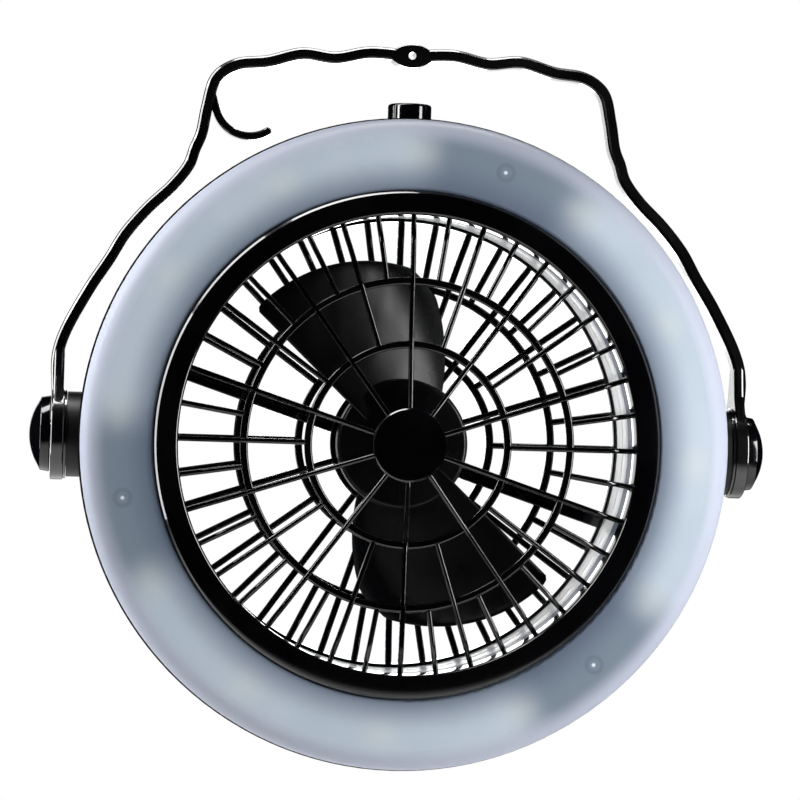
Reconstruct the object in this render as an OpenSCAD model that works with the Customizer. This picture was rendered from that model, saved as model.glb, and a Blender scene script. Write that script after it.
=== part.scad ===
// Portable camping fan with a ring light. A two-blade rotor turns between two
// domed grilles, a frosted ring lights the tent, and a wavy bail handle with a
// hook turns on friction pivots at the sides.
//
// Every piece is drawn lying face up on the bench: x runs to the right, y up
// towards the grip and z towards the face, with z = 0 in the plane of the two
// pivots and the rotor's axis on x = y = 0. upright() then stands the fan up and
// moves the origin to the underside of the middle of the grip, where it hangs.
// All sizes are in millimetres and all angles in degrees.

/* [Duct and grilles] */
// Clear diameter of the duct that the rotor turns in
duct_d = 142.8; // [136:0.2:172]
// Width of the glossy ring round the front grille
bezel_w = 7.4; // [6:0.1:9]
// How far that ring reaches in over the duct wall
bezel_lap = 1.1; // [0.5:0.1:2]
// Diameter of the larger grille ring, at its middle
ring_outer_d = 100.4; // [80:0.2:121]
// Diameter of the smaller grille ring, at its middle
ring_inner_d = 61.4; // [48:0.2:74]
// Diameter of the cap in the middle of the front grille
cap_d = 22.8; // [18:0.2:28]
// Spokes outside the larger ring; half as many go on to the smaller, a quarter to the cap
spokes = 40; // [24:4:48]
// Width of a front spoke
front_spoke_w = 1.6; // [1.2:0.1:2.2]
// Width of a rear spoke
rear_spoke_w = 2; // [1.4:0.1:2.6]
// Depth of a spoke, along the duct
spoke_h = 2.4; // [1.8:0.1:3.5]
// Width of the two rear struts that carry the motor's leads
strut_w = 3.2; // [3:0.1:4.5]

/* [Light ring] */
// Width of the frosted face, from the bezel to the rim
light_w = 22.1; // [22:0.1:27]
// Height of the frosted face above the joint with the housing
lens_h = 9.5; // [8:0.1:14]
// Wall of the frosted ring
lens_wall = 2; // [1.5:0.1:2.5]
// Rounding of the frosted ring's rim
lens_round = 6.5; // [4:0.1:7]
// Lights on each of the three boards
lights_per_board = 4; // [2:1:5]
// Angle between two lights
light_step = 28.5; // [24:0.5:30]

/* [Housing] */
// Depth of the rear housing
housing_depth = 40; // [38:0.5:50]
// Distance from the joint with the light ring back to the pivots
pivot_back = 20; // [18:0.5:24]
// Step of the housing's rim outside the frosted ring
rim_step = 0.6; // [0.3:0.1:1.5]
// Wall of the housing
wall = 2.2; // [1.8:0.1:2.4]
// Rounding round the housing's back
back_round = 8; // [5:0.5:9]
// Diameter of the three long housing screws
screw_d = 3; // [2.5:0.1:3.5]
// Place of the first of those screws round the fan
screw_at = 72; // [66:1:78]

/* [Rotor and motor] */
// Diameter of the circle that the blade tips sweep
rotor_d = 124.2; // [110:0.2:132]
// Diameter of the rotor's hub
hub_d = 40.8; // [38:0.2:44]
// Pitch of the blades
blade_pitch = 19; // [12:1:22]
// Thickness of a blade
blade_t = 1.5; // [1.2:0.1:2]
// Diameter of the motor
motor_d = 36; // [30:0.5:38]
// Diameter of the motor shaft
shaft_d = 3; // [2:0.1:4]
// Radial running clearance of a shaft in its bore
running_gap = 0.05; // [0.02:0.01:0.1]

/* [Handle] */
// Thickness of the handle strap, seen from the front
strap_t = 2.8; // [2.2:0.1:3.4]
// Width of the strap, front to back
strap_w = 8; // [6:0.5:10]
// Diameter of the discs at the strap's ends
eye_d = 28.6; // [26:0.2:32]
// Thickness of those discs
eye_t = 4.1; // [3.5:0.1:5]
// Length of the almond in the middle of the grip
almond_w = 15.2; // [12:0.2:18]
// Height of that almond
almond_h = 7.4; // [6:0.1:9]
// Diameter of the hole through it
almond_hole_d = 2.4; // [2:0.1:3]
// Bend radius of the hook, at its middle
hook_r = 10.7; // [8:0.1:11.2]
// Thickness of the hook
hook_t = 2.4; // [2:0.1:3]

/* [Pivots and button] */
// Diameter of the bosses that the handle turns on
ear_d = 26.5; // [22:0.5:27]
// Height of those bosses beyond the housing's rim
ear_stand = 3.4; // [2.5:0.1:5]
// Diameter of the domed pivot caps
cap_cover_d = 23.8; // [20:0.2:26]
// Height of the domed pivot caps
cap_cover_h = 6.8; // [5.5:0.1:8]
// Diameter of the pivot screw where the handle turns on it
pivot_d = 5; // [4:0.1:6]
// Diameter of the push button
button_d = 13.8; // [10:0.1:14]
// Height of the button beyond the housing's rim
button_stand = 5.9; // [4:0.1:8]
// Travel of the button
button_travel = 2; // [1:0.1:2.5]

/* [Batteries] */
// Diameter of a cell
cell_d = 14.5; // [14:0.1:14.8]
// Length of a cell with its nub
cell_l = 50.5; // [49:0.1:51]
// Place of the middle of the battery door round the fan
battery_at = 264; // [262:1:266]

/* [Hidden] */
$fn = 96;
eps = 0.01;

// Clearances
fit_gap = 0.2;
thread_gap = 0.03;
moving_gap = 0.3;

// Radii from the duct outwards
duct_r = duct_d / 2;
bezel_in_r = duct_r - bezel_lap;
bezel_out_r = bezel_in_r + bezel_w;
seat_r = bezel_out_r + fit_gap;
lens_r = seat_r + light_w;
body_r = lens_r + rim_step;
back_r = body_r - 1;
sleeve_t = 1.6;
sleeve_r = duct_r + sleeve_t;
collar_in_r = sleeve_r + fit_gap;
collar_out_r = collar_in_r + 2.1;
screw_pitch_r = lens_r - 11.5;

// Heights above the pivots' plane
joint_z = pivot_back;
face_z = joint_z + lens_h;
bezel_z = face_z + 1.5;
seat_z = face_z - 4.5;
back_z = joint_z - housing_depth;
floor_z = back_z + wall;
skirt_end_z = joint_z - 12;
sleeve_top_z = skirt_end_z - 0.6;
sleeve_end_z = back_z + 7;
collar_top_z = back_z + 14;
ledge_z = joint_z - 4.6;
tower_z = joint_z - 10;
screw_seat_z = tower_z - 3;
tower_d = 9.5;

// Grille sections: middle line of a spoke as [radius, height], dome by dome
ring_t = 1.7;
ring_mid_r = ring_outer_d / 2;
ring_in_r = ring_inner_d / 2;
cap_r = cap_d / 2;
cap_z = bezel_z + 2.5;
front_dome = [
    [cap_r - 2, cap_z - 2.6],
    [cap_r, cap_z - 2.8],
    [ring_in_r, face_z - 1.9],
    [ring_mid_r, face_z - 3],
    [duct_r - 8.5, face_z - 4.2],
    [duct_r - 5, face_z - 5.4],
    [duct_r - 0.7, face_z - 5.6]
];
cup_r = motor_d / 2 + moving_gap + 2.1;
rear_dome = [
    [cup_r - 1, back_z + 2.8],
    [ring_in_r, back_z + 3.4],
    [ring_mid_r, back_z + 4],
    [duct_r - 8.5, back_z + 4.8],
    [duct_r - 5, back_z + 5.6],
    [duct_r - 0.6, back_z + 5.8]
];
strut_angles = [162, 342];
lead_r = 0.7;
lead_z = back_z + 5.7;
lead_ring_r = collar_out_r + lead_r + moving_gap;
lead_step = 1.8;
lead_top_z = lead_z + 2 * lead_step + lead_r;

// Rotor and motor heights
motor_floor_z = back_z + 2.6;
motor_top_z = back_z + 20;
motor_nose_z = motor_top_z + 1.2;
cup_top_z = motor_top_z - 3;
hub_h = 8.6;
hub_top_z = motor_nose_z + hub_h + 1.2;
hub_r = hub_d / 2;
shaft_r = shaft_d / 2;
motor_r = motor_d / 2;
motor_screw_r = motor_r - 6;
motor_screw_angles = [72, 252];
bell_h = 3.2;

// Handle: [angle up from the pivot, distance outside the body's rim]
arm_line = [
    [0, 6.3], [7, 7.9], [12, 9.6], [17, 9.5], [24.6, 7.8], [30.6, 6.9], [35.7, 7.4],
    [41.2, 7.2], [46.5, 6.9], [50.8, 8.5], [53.3, 11.6], [55.6, 14.6], [58.4, 20.8],
    [61.4, 27.2], [64.9, 28.4], [69.1, 25.9], [74.1, 25.2], [78.7, 21.9],
    [83.9, 22.3], [90, 20.9]
];
steps_per_span = 4;
grip_y = body_r + arm_line[len(arm_line) - 1][1];
hang_y = grip_y - almond_h / 2;
hook_root = arm_line[12];
hook_at = polar(body_r + hook_root[1], 180 - hook_root[0]) + [13.2, 1.9];

// Pivots, from the ear outwards
ear_x = body_r + ear_stand;
ear_stem_x = collar_out_r + 11;
thread_r = 2;
washer_t = 0.5;
eye_x = ear_x + washer_t + moving_gap;
eye_out_x = eye_x + eye_t;
recess_t = 1.4;
head_x = eye_out_x - recess_t + 0.7;
pivot_r = pivot_d / 2;

// Button and switch, measured up from the rotor's axis
button_r = button_d / 2;
button_top_y = body_r + button_stand;
flange_top_y = back_r - wall - 0.7;
flange_t = 1.4;
plunger_r = 2;
switch_top_y = flange_top_y - flange_t - button_travel - moving_gap;
switch_h = 7.5;
switch_w = 12;
switch_floor_y = switch_top_y - switch_h + 1.2;

// Batteries: two bays side by side, each two cells deep
cell_r = cell_d / 2;
cell_mid_r = back_r - wall - cell_r - 4.3;
cell_low_z = floor_z + 0.25 + cell_r;
cell_high_z = cell_low_z + cell_d + 0.3;
nub_h = 1;
contact_t = 0.5;
bay_wall_t = 1.2;
bay_wall_reach = 5.5;
bay_end_x = cell_l / 2 + contact_t + 0.2;
bay_wall_a = atan((bay_end_x + bay_wall_t) / (cell_mid_r - bay_wall_reach));
bay_half = bay_wall_a + arc_angle(1.7, cell_mid_r);
bay_wall_h = cell_high_z + cell_r - floor_z;
divider_r = cell_mid_r - 1.5;
divider_t = 1.8;
divider_h = bay_wall_h - 2;
door_half = bay_half + bay_wall_a + arc_angle(0.2, cell_mid_r);
door_in_r = collar_out_r + 1.9;
door_top_z = back_z + back_round + 4;

// Light boards: distance from the last light to the board's end, and the ribs below
board_t = 1.6;
board_end = 3.25;
rib_angles = [45, 102, 165, 212, 335];

// Control board behind the upper left of the light ring
control_z = back_z + 6.4;
control_at = [110, 158];
board_post_angles = [116, 152];
board_post_r = screw_pitch_r + 2;

// ---------------------------------------------------------------- helpers

// A length along a circle of radius r, as an angle
function arc_angle(length, r) = length / r * 180 / PI;

function polar(r, a) = [r * cos(a), r * sin(a)];

// Point at share t of the span b-c of a curve that runs a, b, c, d
function curve_point(a, b, c, d, t) =
    0.5 * (2 * b + t * (c - a) + t * t * (2 * a - 5 * b + 4 * c - d)
        + t * t * t * (3 * b - a - 3 * c + d));

// Smooth line through all the points, with n steps in each span
function smooth(points, n) = [
    for (i = [0 : len(points) - 2], k = [0 : n - 1])
        curve_point(points[max(i - 1, 0)], points[i], points[i + 1],
            points[min(i + 2, len(points) - 1)], k / n),
    points[len(points) - 1]
];

function unit(v) = v / norm(v);

// The line moved sideways by d, to the left of its direction
function beside(line, d) = [
    for (i = [0 : len(line) - 1])
        let (way = unit(line[min(i + 1, len(line) - 1)] - line[max(i - 1, 0)]))
        line[i] + d * [-way[1], way[0]]
];

function reversed(list) = [for (i = [len(list) - 1 : -1 : 0]) list[i]];

// A closed strip of thickness t along a line
function strip(line, t) = concat(beside(line, t / 2), reversed(beside(line, -t / 2)));

// Stands the fan up and puts the origin where it hangs
module upright() {
    translate([0, 0, -hang_y]) rotate([90, 0, 0]) children();
}

// Section of a ring, from radius r0 to r1 and height z0 to z1
module band(r0, r1, z0, z1) {
    translate([r0, z0]) square([r1 - r0, z1 - z0]);
}

// Cutter that rounds a square corner at p, whose air is towards (dx, dy)
module round_off(p, r, dx, dy) {
    over = 1;
    translate([p[0] - dx * r, p[1] - dy * r]) difference() {
        translate([dx > 0 ? 0 : -(r + over), dy > 0 ? 0 : -(r + over)]) square(r + over);
        circle(r);
    }
}

// Places a child that is drawn along +x at the angle a
module at(a) {
    rotate([0, 0, a]) children();
}

// The same piece on the right and, mirrored, on the left
module both_sides() {
    children();
    mirror([1, 0, 0]) children();
}

// A cylinder along +x from x0 to x1
module rod_x(r, x0, x1) {
    translate([x0, 0, 0]) rotate([0, 90, 0]) cylinder(r = r, h = x1 - x0);
}

// A cylinder along +y from y0 to y1
module rod_y(r, y0, y1) {
    translate([0, y0, 0]) rotate([-90, 0, 0]) cylinder(r = r, h = y1 - y0);
}

// One spoke along +x, whose middle line in radius and height is given
module spoke(line, w, from_r) {
    kept = [for (p = line) if (p[0] > from_r) p];
    start = [from_r, lookup(from_r, line)];
    middle = concat([start], kept);
    edge = concat(
        [for (p = middle) p + [0, spoke_h / 2]],
        [for (p = reversed(middle)) p - [0, spoke_h / 2]]
    );
    rotate([90, 0, 0]) linear_extrude(w, center = true) polygon(edge);
}

// Spokes of one grille: all of them outside the larger ring, half of them on to
// the smaller ring and a quarter of them on to the middle
module spoke_set(line, w, middle_r) {
    step = 360 / spokes;
    for (i = [0 : spokes - 1]) {
        reaches_middle = i % 4 == 2;
        reaches_inner = i % 2 == 0;
        from_r = reaches_middle ? middle_r : reaches_inner ? ring_in_r : ring_mid_r;
        at(i * step) spoke(line, w, from_r);
    }
}

// The two grille rings, centred on the dome's line
module grille_rings(line, t) {
    for (r = [ring_in_r, ring_mid_r]) {
        z = lookup(r, line);
        rotate_extrude() band(r - t / 2, r + t / 2, z - spoke_h / 2 - 0.1, z + spoke_h / 2 + 0.1);
    }
}

// ---------------------------------------------------------------- handle

function arm_points() = [for (p = arm_line) polar(body_r + p[1], p[0])];

module strap_outline() {
    right = smooth(arm_points(), steps_per_span);
    left = [for (p = reversed(right)) if (p[0] > eps) [-p[0], p[1]]];
    polygon(strip(concat(right, left), strap_t));
}

// Almond round the hole: where two discs overlap
module almond_outline() {
    a = almond_w / 2;
    b = almond_h / 2;
    r = (a * a + b * b) / (2 * b);
    translate([0, grip_y]) intersection() {
        translate([0, r - b]) circle(r);
        translate([0, b - r]) circle(r);
    }
}

module hook_outline() {
    reach = 3 * hook_r;
    from = 186;
    to = 303;
    translate(hook_at) {
        intersection() {
            difference() {
                circle(hook_r + hook_t / 2);
                circle(hook_r - hook_t / 2);
            }
            polygon([[0, 0], reach * [cos(from), sin(from)], reach * [-1, -1],
                reach * [0, -1], reach * [cos(to), sin(to)]]);
        }
        translate(polar(hook_r, to)) circle(hook_t / 2, $fn = 48);
    }
}

module handle_eye() {
    flare = 13;
    neck_y = 27;
    difference() {
        union() {
            rod_x(eye_d / 2, eye_x, eye_out_x);
            translate([eye_out_x - strap_t - 0.4, 0, 0]) rotate([90, 0, 90])
                linear_extrude(strap_t)
                    polygon([[flare * 0.25, -flare], [neck_y, -strap_w / 2],
                        [neck_y, strap_w / 2], [flare * 0.25, flare]]);
        }
        rod_x(pivot_r + running_gap, eye_x - 1, eye_out_x + 1);
        rod_x(cap_cover_d / 2 - 3, eye_out_x - recess_t, eye_out_x + 1);
    }
}

module handle_bail() {
    color([0.07, 0.07, 0.075]) upright() {
        difference() {
            union() {
                translate([0, 0, -strap_w / 2]) linear_extrude(strap_w) {
                    strap_outline();
                    almond_outline();
                }
                translate([0, 0, -strap_w / 2 + 1]) linear_extrude(strap_w - 2) hook_outline();
            }
            translate([0, grip_y, -strap_w]) cylinder(d = almond_hole_d, h = 2 * strap_w, $fn = 48);
            both_sides() rod_x(eye_d / 2 - 1, eye_x - 4, eye_out_x + 4);
        }
        both_sides() handle_eye();
    }
}

// Domed cover over the pivot screw's head, pressed into the disc's recess
module pivot_cap() {
    base_r = cap_cover_d / 2;
    skirt_h = 2.9;
    dome_h = cap_cover_h - skirt_h;
    dome_base_r = base_r - 0.5;
    dome_r = (dome_base_r * dome_base_r + dome_h * dome_h) / (2 * dome_h);
    spigot_r = base_r - 3 - fit_gap;
    cover_t = 1.6;
    rotate([0, 90, 0]) difference() {
        union() {
            cylinder(r1 = base_r, r2 = dome_base_r, h = skirt_h);
            intersection() {
                translate([0, 0, cap_cover_h - dome_r]) sphere(dome_r);
                translate([0, 0, skirt_h - eps]) cylinder(r = base_r, h = dome_h + 1);
            }
            translate([0, 0, -recess_t + 0.1]) cylinder(r = spigot_r, h = recess_t);
        }
        translate([0, 0, -recess_t]) cylinder(r = spigot_r - cover_t, h = recess_t + skirt_h);
    }
}

module pivot_cap_right() {
    color([0.03, 0.03, 0.035]) upright() translate([eye_out_x, 0, 0]) pivot_cap();
}

module pivot_cap_left() {
    color([0.03, 0.03, 0.035]) upright() mirror([1, 0, 0]) translate([eye_out_x, 0, 0]) pivot_cap();
}

// ---------------------------------------------------------------- housing

module housing_section() {
    difference() {
        polygon([[collar_in_r, back_z], [back_r, back_z], [back_r, back_z + back_round],
            [body_r, joint_z], [collar_in_r, joint_z]]);
        round_off([back_r, back_z], back_round, 1, -1);
        difference() {
            polygon([[collar_out_r, floor_z], [back_r - wall, floor_z],
                [back_r - wall, back_z + back_round], [body_r - wall, joint_z + eps],
                [collar_out_r, joint_z + eps]]);
            round_off([back_r - wall, floor_z], back_round - wall, 1, -1);
        }
        band(collar_in_r - 1, collar_out_r + eps, collar_top_z, joint_z + 1);
    }
}

// Section of the battery door's opening, cut to the shell
module door_section(gap) {
    intersection() {
        housing_section();
        band(door_in_r - gap, body_r + 1, back_z - 1, door_top_z + gap);
    }
}

module sector(middle, half, gap, r) {
    rotate_extrude(start = middle - half - arc_angle(gap, r),
        angle = 2 * (half + arc_angle(gap, r))) children();
}

module screw_tower() {
    base_z = back_z + wall / 2;
    translate([screw_pitch_r, 0, base_z]) cylinder(d = tower_d, h = tower_z - base_z);
}

module screw_tower_cut() {
    translate([screw_pitch_r, 0, 0]) {
        translate([0, 0, back_z - 1]) cylinder(d = screw_d + 3.2, h = screw_seat_z - back_z + 1);
        translate([0, 0, back_z]) cylinder(r = screw_d / 2 + fit_gap, h = tower_z - back_z + 1);
    }
}

// Upright rib that stiffens the shell and carries the light boards; its outer edge
// runs within the shell's wall, round the corner too
module board_rib() {
    rib_t = 1.6;
    corner = [back_r - back_round, back_z + back_round];
    within = back_round - wall / 2;
    inner_r = lead_ring_r + lead_r + 2.9;
    rotate([90, 0, 0]) linear_extrude(rib_t, center = true)
        polygon(concat(
            [[inner_r, back_z + wall / 2]],
            [for (a = [-90 : 22.5 : 0]) corner + polar(within, a)],
            [[back_r - wall / 2, ledge_z - 1], [inner_r, ledge_z - 1]]
        ));
}

// Frame of a battery bay: x along the cells, y outwards, origin on the rotor's axis
module in_bay(side) {
    at(battery_at - 90 + side * bay_half) children();
}

// Cuts the way that the leads take round the collar
module raceway() {
    rotate_extrude()
        band(collar_out_r - 1, lead_ring_r + lead_r + moving_gap, floor_z, lead_top_z + moving_gap);
}

// End wall of a bay; an outer one grows out of the collar, above the raceway
module bay_wall(end, inner) {
    collar_y = sqrt(pow(collar_out_r - 1, 2) - bay_end_x * bay_end_x);
    root_y = inner ? cell_mid_r - bay_wall_reach : collar_y;
    difference() {
        translate([end > 0 ? bay_end_x : -bay_end_x - bay_wall_t, root_y, floor_z + moving_gap])
            cube([bay_wall_t, cell_mid_r + bay_wall_reach - root_y, bay_wall_h]);
        raceway();
    }
}

// Rib and cross wall between the bays, which carry their inner end walls
module bay_divider() {
    rib_r = collar_out_r - 1;
    cross_w = 6;
    at(battery_at) difference() {
        translate([0, 0, floor_z + 1]) {
            translate([rib_r, -bay_wall_t / 2, 0])
                cube([divider_r - rib_r + 1, bay_wall_t, divider_h - 1]);
            translate([divider_r, -cross_w / 2, 0]) cube([divider_t, cross_w, divider_h]);
        }
        raceway();
    }
}

// Boss that the handle turns on, with the stem inside that its screw bites into
module ear() {
    boss_depth = 4.5;
    stem_r = 5;
    rod_x(ear_d / 2, body_r - boss_depth, ear_x);
    rod_x(stem_r, ear_stem_x, body_r - boss_depth + 0.5);
}

module rear_housing() {
    color([0.06, 0.06, 0.065]) upright() difference() {
        union() {
            rotate_extrude() {
                housing_section();
                band(collar_in_r - 1, collar_in_r + eps, back_z, back_z + 1.2);
                band(back_r - wall - 1.6, back_r - 0.6, ledge_z - 2, ledge_z);
            }
            for (k = [0 : 2]) at(screw_at + 120 * k) screw_tower();
            for (a = rib_angles) at(a) board_rib();
            both_sides() ear();
            for (side = [-1, 1], end = [-1, 1]) in_bay(side) bay_wall(end, end == side);
            bay_divider();
            board_posts();
            switch_shelf();
        }
        for (k = [0 : 2]) at(screw_at + 120 * k) screw_tower_cut();
        both_sides() rod_x(thread_r + thread_gap, ear_stem_x - 1, ear_x + 1);
        for (a = strut_angles) at(a)
            translate([0, 0, lead_z]) rod_x(lead_r + 0.4, collar_in_r - 1, collar_out_r + 1);
        rod_y(button_r + moving_gap, back_r - wall - 2, body_r + 3);
        sector(battery_at, door_half, moving_gap, back_r) door_cut_section();
    }
}

// The door's opening, a little larger than the shell so that it cuts cleanly
module door_cut_section() {
    band(door_in_r - moving_gap, back_r - back_round + eps, back_z - 1, floor_z + 0.2);
    band(back_r - back_round, body_r + 1, back_z - 1, door_top_z + moving_gap);
}

// Shallow recess for the thumb in the door's face, crossed by bars that are flush with it
module thumb_grip() {
    grip_w = 9;
    grip_half = 11;
    deep = 0.8;
    bar_t = 1.2;
    bar_step = 4;
    grip_r = (door_in_r + back_r - back_round) / 2;
    at(battery_at) translate([grip_r, 0, back_z - 1]) difference() {
        union() {
            translate([-grip_w / 2, -grip_half, 0]) cube([grip_w, 2 * grip_half, 1 + deep]);
            for (side = [-1, 1]) translate([0, side * grip_half, 0]) cylinder(d = grip_w, h = 1 + deep);
        }
        for (k = [-2 : 2]) translate([-grip_w, k * bar_step - bar_t / 2, 1])
            cube([2 * grip_w, bar_t, 1 + deep]);
    }
}

module battery_door() {
    tongue_w = 4;
    tongue_t = 1.4;
    tongue_h = 9;
    color([0.06, 0.06, 0.065]) upright() {
        difference() {
            sector(battery_at, door_half, 0, back_r) door_section(0);
            thumb_grip();
        }
        at(battery_at) translate([divider_r + divider_t + moving_gap, -tongue_w / 2, floor_z - 0.5])
            cube([tongue_t, tongue_w, tongue_h]);
    }
}

module board_posts() {
    for (a = board_post_angles) at(a)
        translate([board_post_r, 0, floor_z - eps]) difference() {
            cylinder(r = 2.6, h = control_z - floor_z + eps);
            translate([0, 0, 1]) cylinder(r = 1 + thread_gap, h = control_z - floor_z);
        }
}

module switch_shelf() {
    shelf_t = 1.5;
    translate([-switch_w / 2, switch_top_y - switch_h - shelf_t - 0.1, floor_z - eps])
        cube([switch_w, shelf_t, switch_w / 2 + 0.7 - floor_z + eps]);
}

// ---------------------------------------------------------------- duct and grilles

module duct_sleeve() {
    groove = 0.5;
    groove_z = sleeve_top_z - 9.7;
    color([0.93, 0.93, 0.92]) upright() rotate_extrude() difference() {
        band(duct_r, sleeve_r, sleeve_end_z, sleeve_top_z);
        band(duct_r - 1, duct_r + groove, groove_z, groove_z + 0.6);
    }
}

module motor_cup() {
    lip_h = 1.6;
    difference() {
        union() {
            translate([0, 0, back_z]) cylinder(r = cup_r, h = cup_top_z - back_z);
            translate([0, 0, cup_top_z - lip_h]) cylinder(r = cup_r + 1.2, h = lip_h);
        }
        translate([0, 0, motor_floor_z]) cylinder(r = motor_r + fit_gap, h = 30);
    }
}

module motor_screw_holes() {
    for (a = motor_screw_angles) at(a) translate([motor_screw_r, 0, 0]) {
        translate([0, 0, back_z - 1]) cylinder(r = 2.5, h = 2.4);
        translate([0, 0, back_z]) cylinder(r = 1.3 + thread_gap, h = 6);
    }
}

module strut() {
    start = cup_r - 1;
    translate([start, -strut_w / 2, back_z + 1.2])
        cube([duct_r - 0.5 - start, strut_w, lead_z + 1 - back_z - 1.2]);
}

module strut_channel() {
    channel_w = 2 * lead_r + 0.3;
    translate([motor_r - 1, -channel_w / 2, lead_z - lead_r - 0.15])
        cube([collar_out_r - motor_r + 2, channel_w, 2 * lead_r + 3]);
}

module rear_grille() {
    outer_ring_t = 1.6;
    color([0.05, 0.05, 0.055]) upright() difference() {
        union() {
            rotate_extrude()
                band(duct_r - outer_ring_t + 0.6, sleeve_r, back_z + 1.2, sleeve_end_z);
            spoke_set(rear_dome, rear_spoke_w, cup_r - 1);
            grille_rings(rear_dome, rear_spoke_w);
            motor_cup();
            for (a = strut_angles) at(a) strut();
        }
        for (a = strut_angles) at(a) strut_channel();
        motor_screw_holes();
    }
}

module bezel_section() {
    difference() {
        union() {
            band(bezel_in_r, bezel_out_r, seat_z, bezel_z);
            band(bezel_in_r, duct_r - fit_gap, seat_z - 3, seat_z + 1);
        }
        round_off([bezel_out_r, bezel_z], 1.6, 1, 1);
        round_off([bezel_in_r, bezel_z], 1.2, -1, 1);
    }
}

module bezel_clips() {
    clip_half = 4;
    clip_r = duct_r + 3.4;
    for (k = [0 : 3]) sector(45 + 90 * k, clip_half, 0, clip_r) {
        band(clip_r, clip_r + 1.2, seat_z - lens_wall - 2.6, seat_z + 1);
        polygon([[clip_r + 1.1, seat_z - lens_wall - 0.2], [clip_r + 1.9, seat_z - lens_wall - 0.2],
            [clip_r + 1.1, seat_z - lens_wall - 2.4]]);
    }
}

module front_grille() {
    color([0.02, 0.02, 0.022]) upright() {
        rotate_extrude() bezel_section();
        bezel_clips();
        spoke_set(front_dome, front_spoke_w, cap_r - 2);
        grille_rings(front_dome, ring_t);
        rotate_extrude() difference() {
            band(0, cap_r, cap_z - 4.2, cap_z);
            round_off([cap_r, cap_z], 1, 1, 1);
        }
    }
}

// ---------------------------------------------------------------- light ring

module lens_section() {
    under_z = face_z - lens_wall;
    difference() {
        union() {
            band(seat_r, lens_r, joint_z, face_z);
            band(duct_r, seat_r + lens_wall, seat_z - lens_wall, seat_z);
            band(duct_r, sleeve_r, skirt_end_z, seat_z);
        }
        round_off([lens_r, face_z], lens_round, 1, 1);
        round_off([seat_r, face_z], 0.8, -1, 1);
        difference() {
            band(seat_r + lens_wall, lens_r - lens_wall, joint_z - 6, under_z);
            round_off([lens_r - lens_wall, under_z], lens_round - lens_wall, 1, 1);
        }
        band(seat_r - eps, seat_r + lens_wall + eps, joint_z - 1, seat_z - lens_wall);
    }
}

module lens_post() {
    under_z = face_z - lens_wall;
    translate([screw_pitch_r, 0, tower_z]) difference() {
        cylinder(d = 6.6, h = under_z + 0.4 - tower_z);
        translate([0, 0, -1]) cylinder(r = screw_d / 2 + thread_gap, h = under_z - tower_z - 1);
    }
}

module diffuser_lens() {
    dimple_r = 1.1;
    color([0.8, 0.85, 0.9, 0.8]) upright() difference() {
        union() {
            rotate_extrude() lens_section();
            for (k = [0 : 2]) at(screw_at + 120 * k) lens_post();
        }
        for (k = [0 : 2]) at(screw_at + 120 * k)
            translate([screw_pitch_r, 0, face_z - 0.4]) cylinder(r1 = 0.2, r2 = dimple_r, h = 0.41);
        for (k = [0 : 3])
            sector(45 + 90 * k, 4, 0.6, duct_r + 3)
                band(duct_r + 3, duct_r + 5.5, seat_z - lens_wall - 1, seat_z + 1);
    }
}

module led_board(middle) {
    half = light_step * (lights_per_board - 1) / 2 + board_end;
    color([0.95, 0.95, 0.93]) upright() difference() {
        sector(middle, half, 0, screw_pitch_r)
            band(seat_r + lens_wall + 1, back_r - wall - 0.4, ledge_z, ledge_z + board_t);
        for (side = [-1, 1]) at(middle + side * (half - 2))
            translate([screw_pitch_r, 0, ledge_z - 1]) cylinder(r = 1.2, h = board_t + 2);
    }
}

module led_board_left() { led_board(screw_at + 60); }
module led_board_bottom() { led_board(screw_at + 180); }
module led_board_right() { led_board(screw_at + 300); }

module led_packages() {
    size = 5;
    color([1, 0.95, 0.7]) upright()
        for (k = [0 : 2], i = [0 : lights_per_board - 1])
            at(screw_at + 60 + 120 * k + (i - (lights_per_board - 1) / 2) * light_step)
                translate([screw_pitch_r - size / 2, -size / 2, ledge_z + board_t])
                    cube([size, size, 1.6]);
}

module housing_screws() {
    head_h = 2;
    length = 13;
    color([0.6, 0.6, 0.62]) upright() for (k = [0 : 2]) at(screw_at + 120 * k)
        translate([screw_pitch_r, 0, screw_seat_z]) difference() {
            union() {
                translate([0, 0, -head_h]) cylinder(d = screw_d + 2.6, h = head_h);
                translate([0, 0, -0.5]) cylinder(d = screw_d, h = length);
            }
            translate([0, 0, -head_h - 0.1]) cylinder(r = 1, h = 1.2, $fn = 6);
        }
}

// ---------------------------------------------------------------- motor and rotor

module motor_can() {
    color([0.7, 0.7, 0.72]) upright() difference() {
        union() {
            translate([0, 0, motor_floor_z + bell_h])
                cylinder(r = motor_r, h = motor_top_z - motor_floor_z - bell_h);
            translate([0, 0, motor_top_z - eps]) cylinder(r = 4, h = motor_nose_z - motor_top_z);
        }
        translate([0, 0, motor_floor_z]) cylinder(r = shaft_r + running_gap, h = 30);
    }
}

module motor_end_bell() {
    color([0.12, 0.12, 0.13]) upright() difference() {
        translate([0, 0, motor_floor_z]) cylinder(r = motor_r, h = bell_h);
        for (a = motor_screw_angles) at(a)
            translate([motor_screw_r, 0, motor_floor_z - 1]) cylinder(r = 1.3 + thread_gap, h = 3.6);
        translate([0, 0, motor_floor_z + 1.6]) cylinder(r = shaft_r + running_gap, h = 30);
    }
}

module motor_screws() {
    color([0.6, 0.6, 0.62]) upright() for (a = motor_screw_angles) at(a)
        translate([motor_screw_r, 0, 0]) difference() {
            union() {
                translate([0, 0, back_z + 0.3]) cylinder(r = 2.3, h = 1.1);
                translate([0, 0, back_z + 1]) cylinder(r = 1.3, h = 3.6);
            }
            translate([0, 0, back_z]) cylinder(r = 0.8, h = 0.9, $fn = 6);
        }
}

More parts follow.
